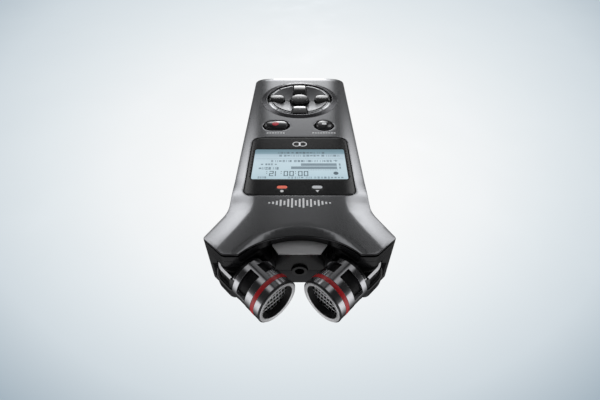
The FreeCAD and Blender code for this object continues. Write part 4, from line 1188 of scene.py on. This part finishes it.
def woven_mesh(tag, origin, axis, upright, level):
    """Two layers of flat wavy wire: narrow upright slats over wider, wider spaced level bars."""
    mesh_radius, depth, wave, half_thickness, around = 6.7, 2.95, 0.035, 0.055, 8
    centre = origin + axis * (MIC_REACH - depth)
    angles = [2 * math.pi * j / around for j in range(around)]
    verts, faces = [], []
    # spacing direction, wire direction, pitch, half width, shift along the axis
    for spread, along, pitch, half_width, lift in (
            (level, upright, SLAT_PITCH, 0.20, 0.045), (upright, level, 2.15, 0.27, -0.045)):
        for i in range(-6, 7):
            shift = i * pitch
            half_length = math.sqrt(max(mesh_radius ** 2 - shift ** 2, 0.0))
            if half_length < 0.8:
                continue
            middle = centre + spread * shift + axis * lift
            phase = 1 if i % 2 else -1
            steps = max(6, int(half_length / SLAT_PITCH * 4))
            sections = []
            for j in range(steps + 1):
                reach = -half_length + 2 * half_length * j / steps
                swing = phase * wave * math.sin(math.pi * reach / SLAT_PITCH)
                point = middle + along * reach + axis * swing
                sections.append([point + spread * half_width * math.cos(a)
                                 + axis * half_thickness * math.sin(a) for a in angles])
            sweep(verts, faces, sections)
    new_object("mic_mesh_woven_" + tag, verts, faces, MESH, "mic_" + tag, "mesh_steel",
               "mic_grille_" + tag, smooth=50.0)


def microphone(side, tag):
    """Turned parts and mesh of one microphone, which points 45 degrees inwards and to -Y."""
    pins_lo, pins_hi = node_box("pivot_pins")
    rim_lo, rim_hi = node_box("mic_rim_" + tag)
    origin = np.array([side * (pins_hi[0] - 2.5), (pins_lo[1] + pins_hi[1]) / 2,
                       float((rim_lo[2] + rim_hi[2]) / 2)])
    diagonal = math.sqrt(0.5)
    axis = np.array([-side * diagonal, -diagonal, 0.0])
    upright = np.array([0.0, 0.0, 1.0])
    level = np.cross(axis, upright)

    def turned(name, profile, count, material, slot, replaces=None, smooth=38.0):
        profile = [(MIC_REACH + along, radius) for along, radius in profile]
        lathe(name + tag, profile, (origin, axis, upright, level), count, material,
              "mic_" + tag, slot, replaces and replaces + tag, smooth)

    turned("mic_rim_turned_", RIM_PROFILE, 128, RIM, "rim_silver", "mic_rim_")
    turned("mic_red_band_", RED_BAND_PROFILE, 128, RED_RING, "red_ring", "mic_red_ring_")
    woven_mesh(tag, origin, axis, upright, level)
    # black groove behind the rim, recess wall in front of the mesh, dark cloth behind it
    turned("mic_rim_groove_", GROOVE_PROFILE, 128, SCREEN, "mesh_black")
    turned("mic_recess_wall_", RECESS_PROFILE, 112, SCREEN, "mesh_black")
    turned("mic_dust_cloth_", CLOTH_PROFILE, 72, SCREEN, "mesh_black")
    turned("mic_screen_ribbed_", screen_profile(), 96, SCREEN, "mesh_black", "mic_screen_",
           smooth=30.0)


microphone(-1, "left")
microphone(1, "right")


# ---- floor, camera, light (in metres) ------------------------------------------------------
def floor_material():
    """The camera sees a soft pale vignette, a painted pool of light; other rays see light that
    depends on their slope, dimmer for steep rays as painted shade under the case.
    """
    # distance from the vignette's centre in the view, colour
    vignette = [(0.0, (0.935, 0.94, 0.94)), (0.17, (0.93, 0.935, 0.937)),
                (0.30, (0.86, 0.885, 0.90)), (0.42, (0.75, 0.80, 0.83)),
                (0.55, (0.63, 0.695, 0.74)), (0.72, (0.37, 0.45, 0.515)),
                (0.9, (0.28, 0.36, 0.42))]
    # steepness of the ray, strength; the low strengths of steep rays are painted shade
    floor_light_and_shade_by_steepness = [(0.0, 0.92), (0.07, 0.9), (0.30, 0.80), (0.42, 0.62), (0.545, 0.36),
                    (0.70, 0.11), (0.80, 0.035), (1.0, 0.012)]
    m = Material("pale_floor")
    view = m.xyz(m.node("ShaderNodeTexCoord").outputs["Window"])
    across = m.multiply(m.math("SUBTRACT", view["X"], 0.5), 1.0)
    up = m.multiply(m.math("SUBTRACT", view["Y"], 0.56), 0.92)
    radius = m.math("SQRT", m.add(m.multiply(across, across), m.multiply(up, up)))
    radius = m.add(radius, m.vary(m.noise(m.coords(), scale=14.0), -0.004, 0.004))
    seen = m.node("ShaderNodeEmission", {"Color": m.ramp(radius, vignette), "Strength": 1.0})

    geometry = m.node("ShaderNodeNewGeometry").outputs
    incoming = m.xyz(geometry["Incoming"])
    steepness = m.ramp(incoming["Z"], floor_light_and_shade_by_steepness)
    toward = m.remap(m.multiply(incoming["Y"], -1.0), source=(0.15, -0.45), target=(0.0, 0.22))
    cast = m.node("ShaderNodeEmission", {"Color": (0.985, 0.99, 1.0),
                                         "Strength": m.add(steepness, toward)})
    camera_ray = m.node("ShaderNodeLightPath").outputs["Is Camera Ray"]
    light = m.node("ShaderNodeMixShader",
                   {0: camera_ray, 1: cast.outputs[0], 2: seen.outputs[0]})
    # 0.12 is the sheen's roughness should the noise be unplugged
    sheen = m.node("ShaderNodeBsdfGlossy", {"Roughness": 0.12, "Color": (0.03, 0.03, 0.03)})
    m.feed(sheen.inputs["Roughness"], m.noise(m.coords(), scale=30.0))
    lit = m.node("ShaderNodeAddShader", {0: light.outputs[0], 1: sheen.outputs[0]})
    # the sheet is seen from above only
    clear = m.node("ShaderNodeBsdfTransparent")
    one_sided = m.node("ShaderNodeMixShader",
                       {0: geometry["Backfacing"], 1: lit.outputs[0], 2: clear.outputs[0]})
    return m.surface(one_sided.outputs[0])


def add_floor():
    bpy.ops.mesh.primitive_plane_add(size=6.0, location=(0, 0.6, -0.0002))
    floor = bpy.context.object
    floor.name = "studio_floor"
    floor.data.materials.append(floor_material())
    floor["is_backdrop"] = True


def add_camera(scene):
    lens = bpy.data.cameras.new("camera")
    lens.sensor_width = 36.0
    lens.lens = 20.469
    lens.shift_x = 0.00058
    lens.clip_start = 0.001
    lens.clip_end = 20.0
    camera = bpy.data.objects.new("camera", lens)
    scene.collection.objects.link(camera)
    camera.location = (0.0, -0.12722, 0.11794)
    camera.rotation_euler = (math.radians(46.8), 0, 0)
    scene.camera = camera


def add_world(scene):
    """Light from all round by elevation and by azimuth off +Y, both in degrees."""
    # elevation, strength of the light on the +Y side
    back_strengths = [(0, 3.6), (4, 4.6), (8, 4.8), (13, 2.9), (18, 1.55), (23.5, 0.98),
                      (27, 0.50), (30.5, 0.42), (34, 0.26), (37, 0.19), (43, 0.138),
                      (50, 0.092), (90, 0.05)]
    # the ramp holds strengths below 1, so they are divided by this and multiplied back
    ramp_unit = 6.5
    world = bpy.data.worlds.new("studio")
    scene.world = world
    world.use_nodes = True
    w = Shader(world.node_tree)
    output = w.node("ShaderNodeOutputWorld")
    direction = w.xyz(w.node("ShaderNodeTexCoord").outputs["Generated"])
    elevation = w.multiply(w.math("ARCSINE", direction["Z"]), 180 / math.pi)
    azimuth = w.multiply(w.math("ARCTAN2", w.math("ABSOLUTE", direction["X"]), direction["Y"]),
                         180 / math.pi)
    drop = (1.0, 0.0)

    ramp = w.ramp(w.math("DIVIDE", elevation, 90.0),
                  [(angle / 90.0, strength / ramp_unit) for angle, strength in back_strengths])
    low_dip = w.multiply(w.fade(elevation, (15.0, 9.0)), w.fade(azimuth, (3.3, 4.9)), 0.90)
    back = w.multiply(w.node("ShaderNodeSeparateColor", {0: ramp}).outputs[0], ramp_unit,
                      w.fade(azimuth, (5.0, 10.5), (1.0, 0.045)),
                      w.math("SUBTRACT", 1.0, low_dip))
    side = w.multiply(w.fade(azimuth, (11.5, 18.5)), w.fade(azimuth, (21.0, 30.0), (1.0, 0.56)),
                      w.fade(azimuth, (66.0, 82.0), drop), w.fade(elevation, (23.0, 38.0)),
                      w.fade(elevation, (40.0, 46.0), drop), 1.85)
    overhead = w.multiply(w.fade(azimuth, (12.0, 30.0)), w.fade(azimuth, (50.0, 80.0), drop),
                          w.fade(elevation, (48.0, 58.0)),
                          w.fade(elevation, (72.0, 82.0), drop), 0.40)
    horizon = w.multiply(w.fade(azimuth, (84.0, 92.0)), w.fade(elevation, (6.0, 13.0), drop),
                         0.92)
    front = w.multiply(w.fade(azimuth, (125.0, 140.0)), w.fade(elevation, (8.0, 16.0)),
                       w.fade(elevation, (34.0, 44.0), drop), 0.10)
    ambient = w.fade(elevation, (50.0, 90.0), (0.018, 0.055))
    total = w.add(w.add(back, side), w.add(w.add(overhead, ambient), w.add(horizon, front)))
    light = w.node("ShaderNodeBackground", {"Color": (0.985, 0.99, 1.0), "Strength": total})
    # the camera itself sees a plain pale backdrop beyond the floor
    backdrop = w.node("ShaderNodeBackground", {"Color": (0.80, 0.84, 0.865)})
    camera_ray = w.node("ShaderNodeLightPath").outputs["Is Camera Ray"]
    mixed = w.node("ShaderNodeMixShader",
                   {0: camera_ray, 1: light.outputs[0], 2: backdrop.outputs[0]})
    w.feed(output.inputs[0], mixed.outputs[0])


scene = bpy.context.scene
add_floor()
add_camera(scene)
add_world(scene)
scene.view_settings.view_transform = "Standard"
scene.view_settings.look = "None"

VIS_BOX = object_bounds()


def as_list(b):
    # the bounds may be a pair of corners or a flat run of numbers
    try:
        return [[float(c) for c in p] for p in b]
    except TypeError:
        return [float(c) for c in b]


{"cad": as_list(CAD_BOX), "visual": as_list(VIS_BOX)}
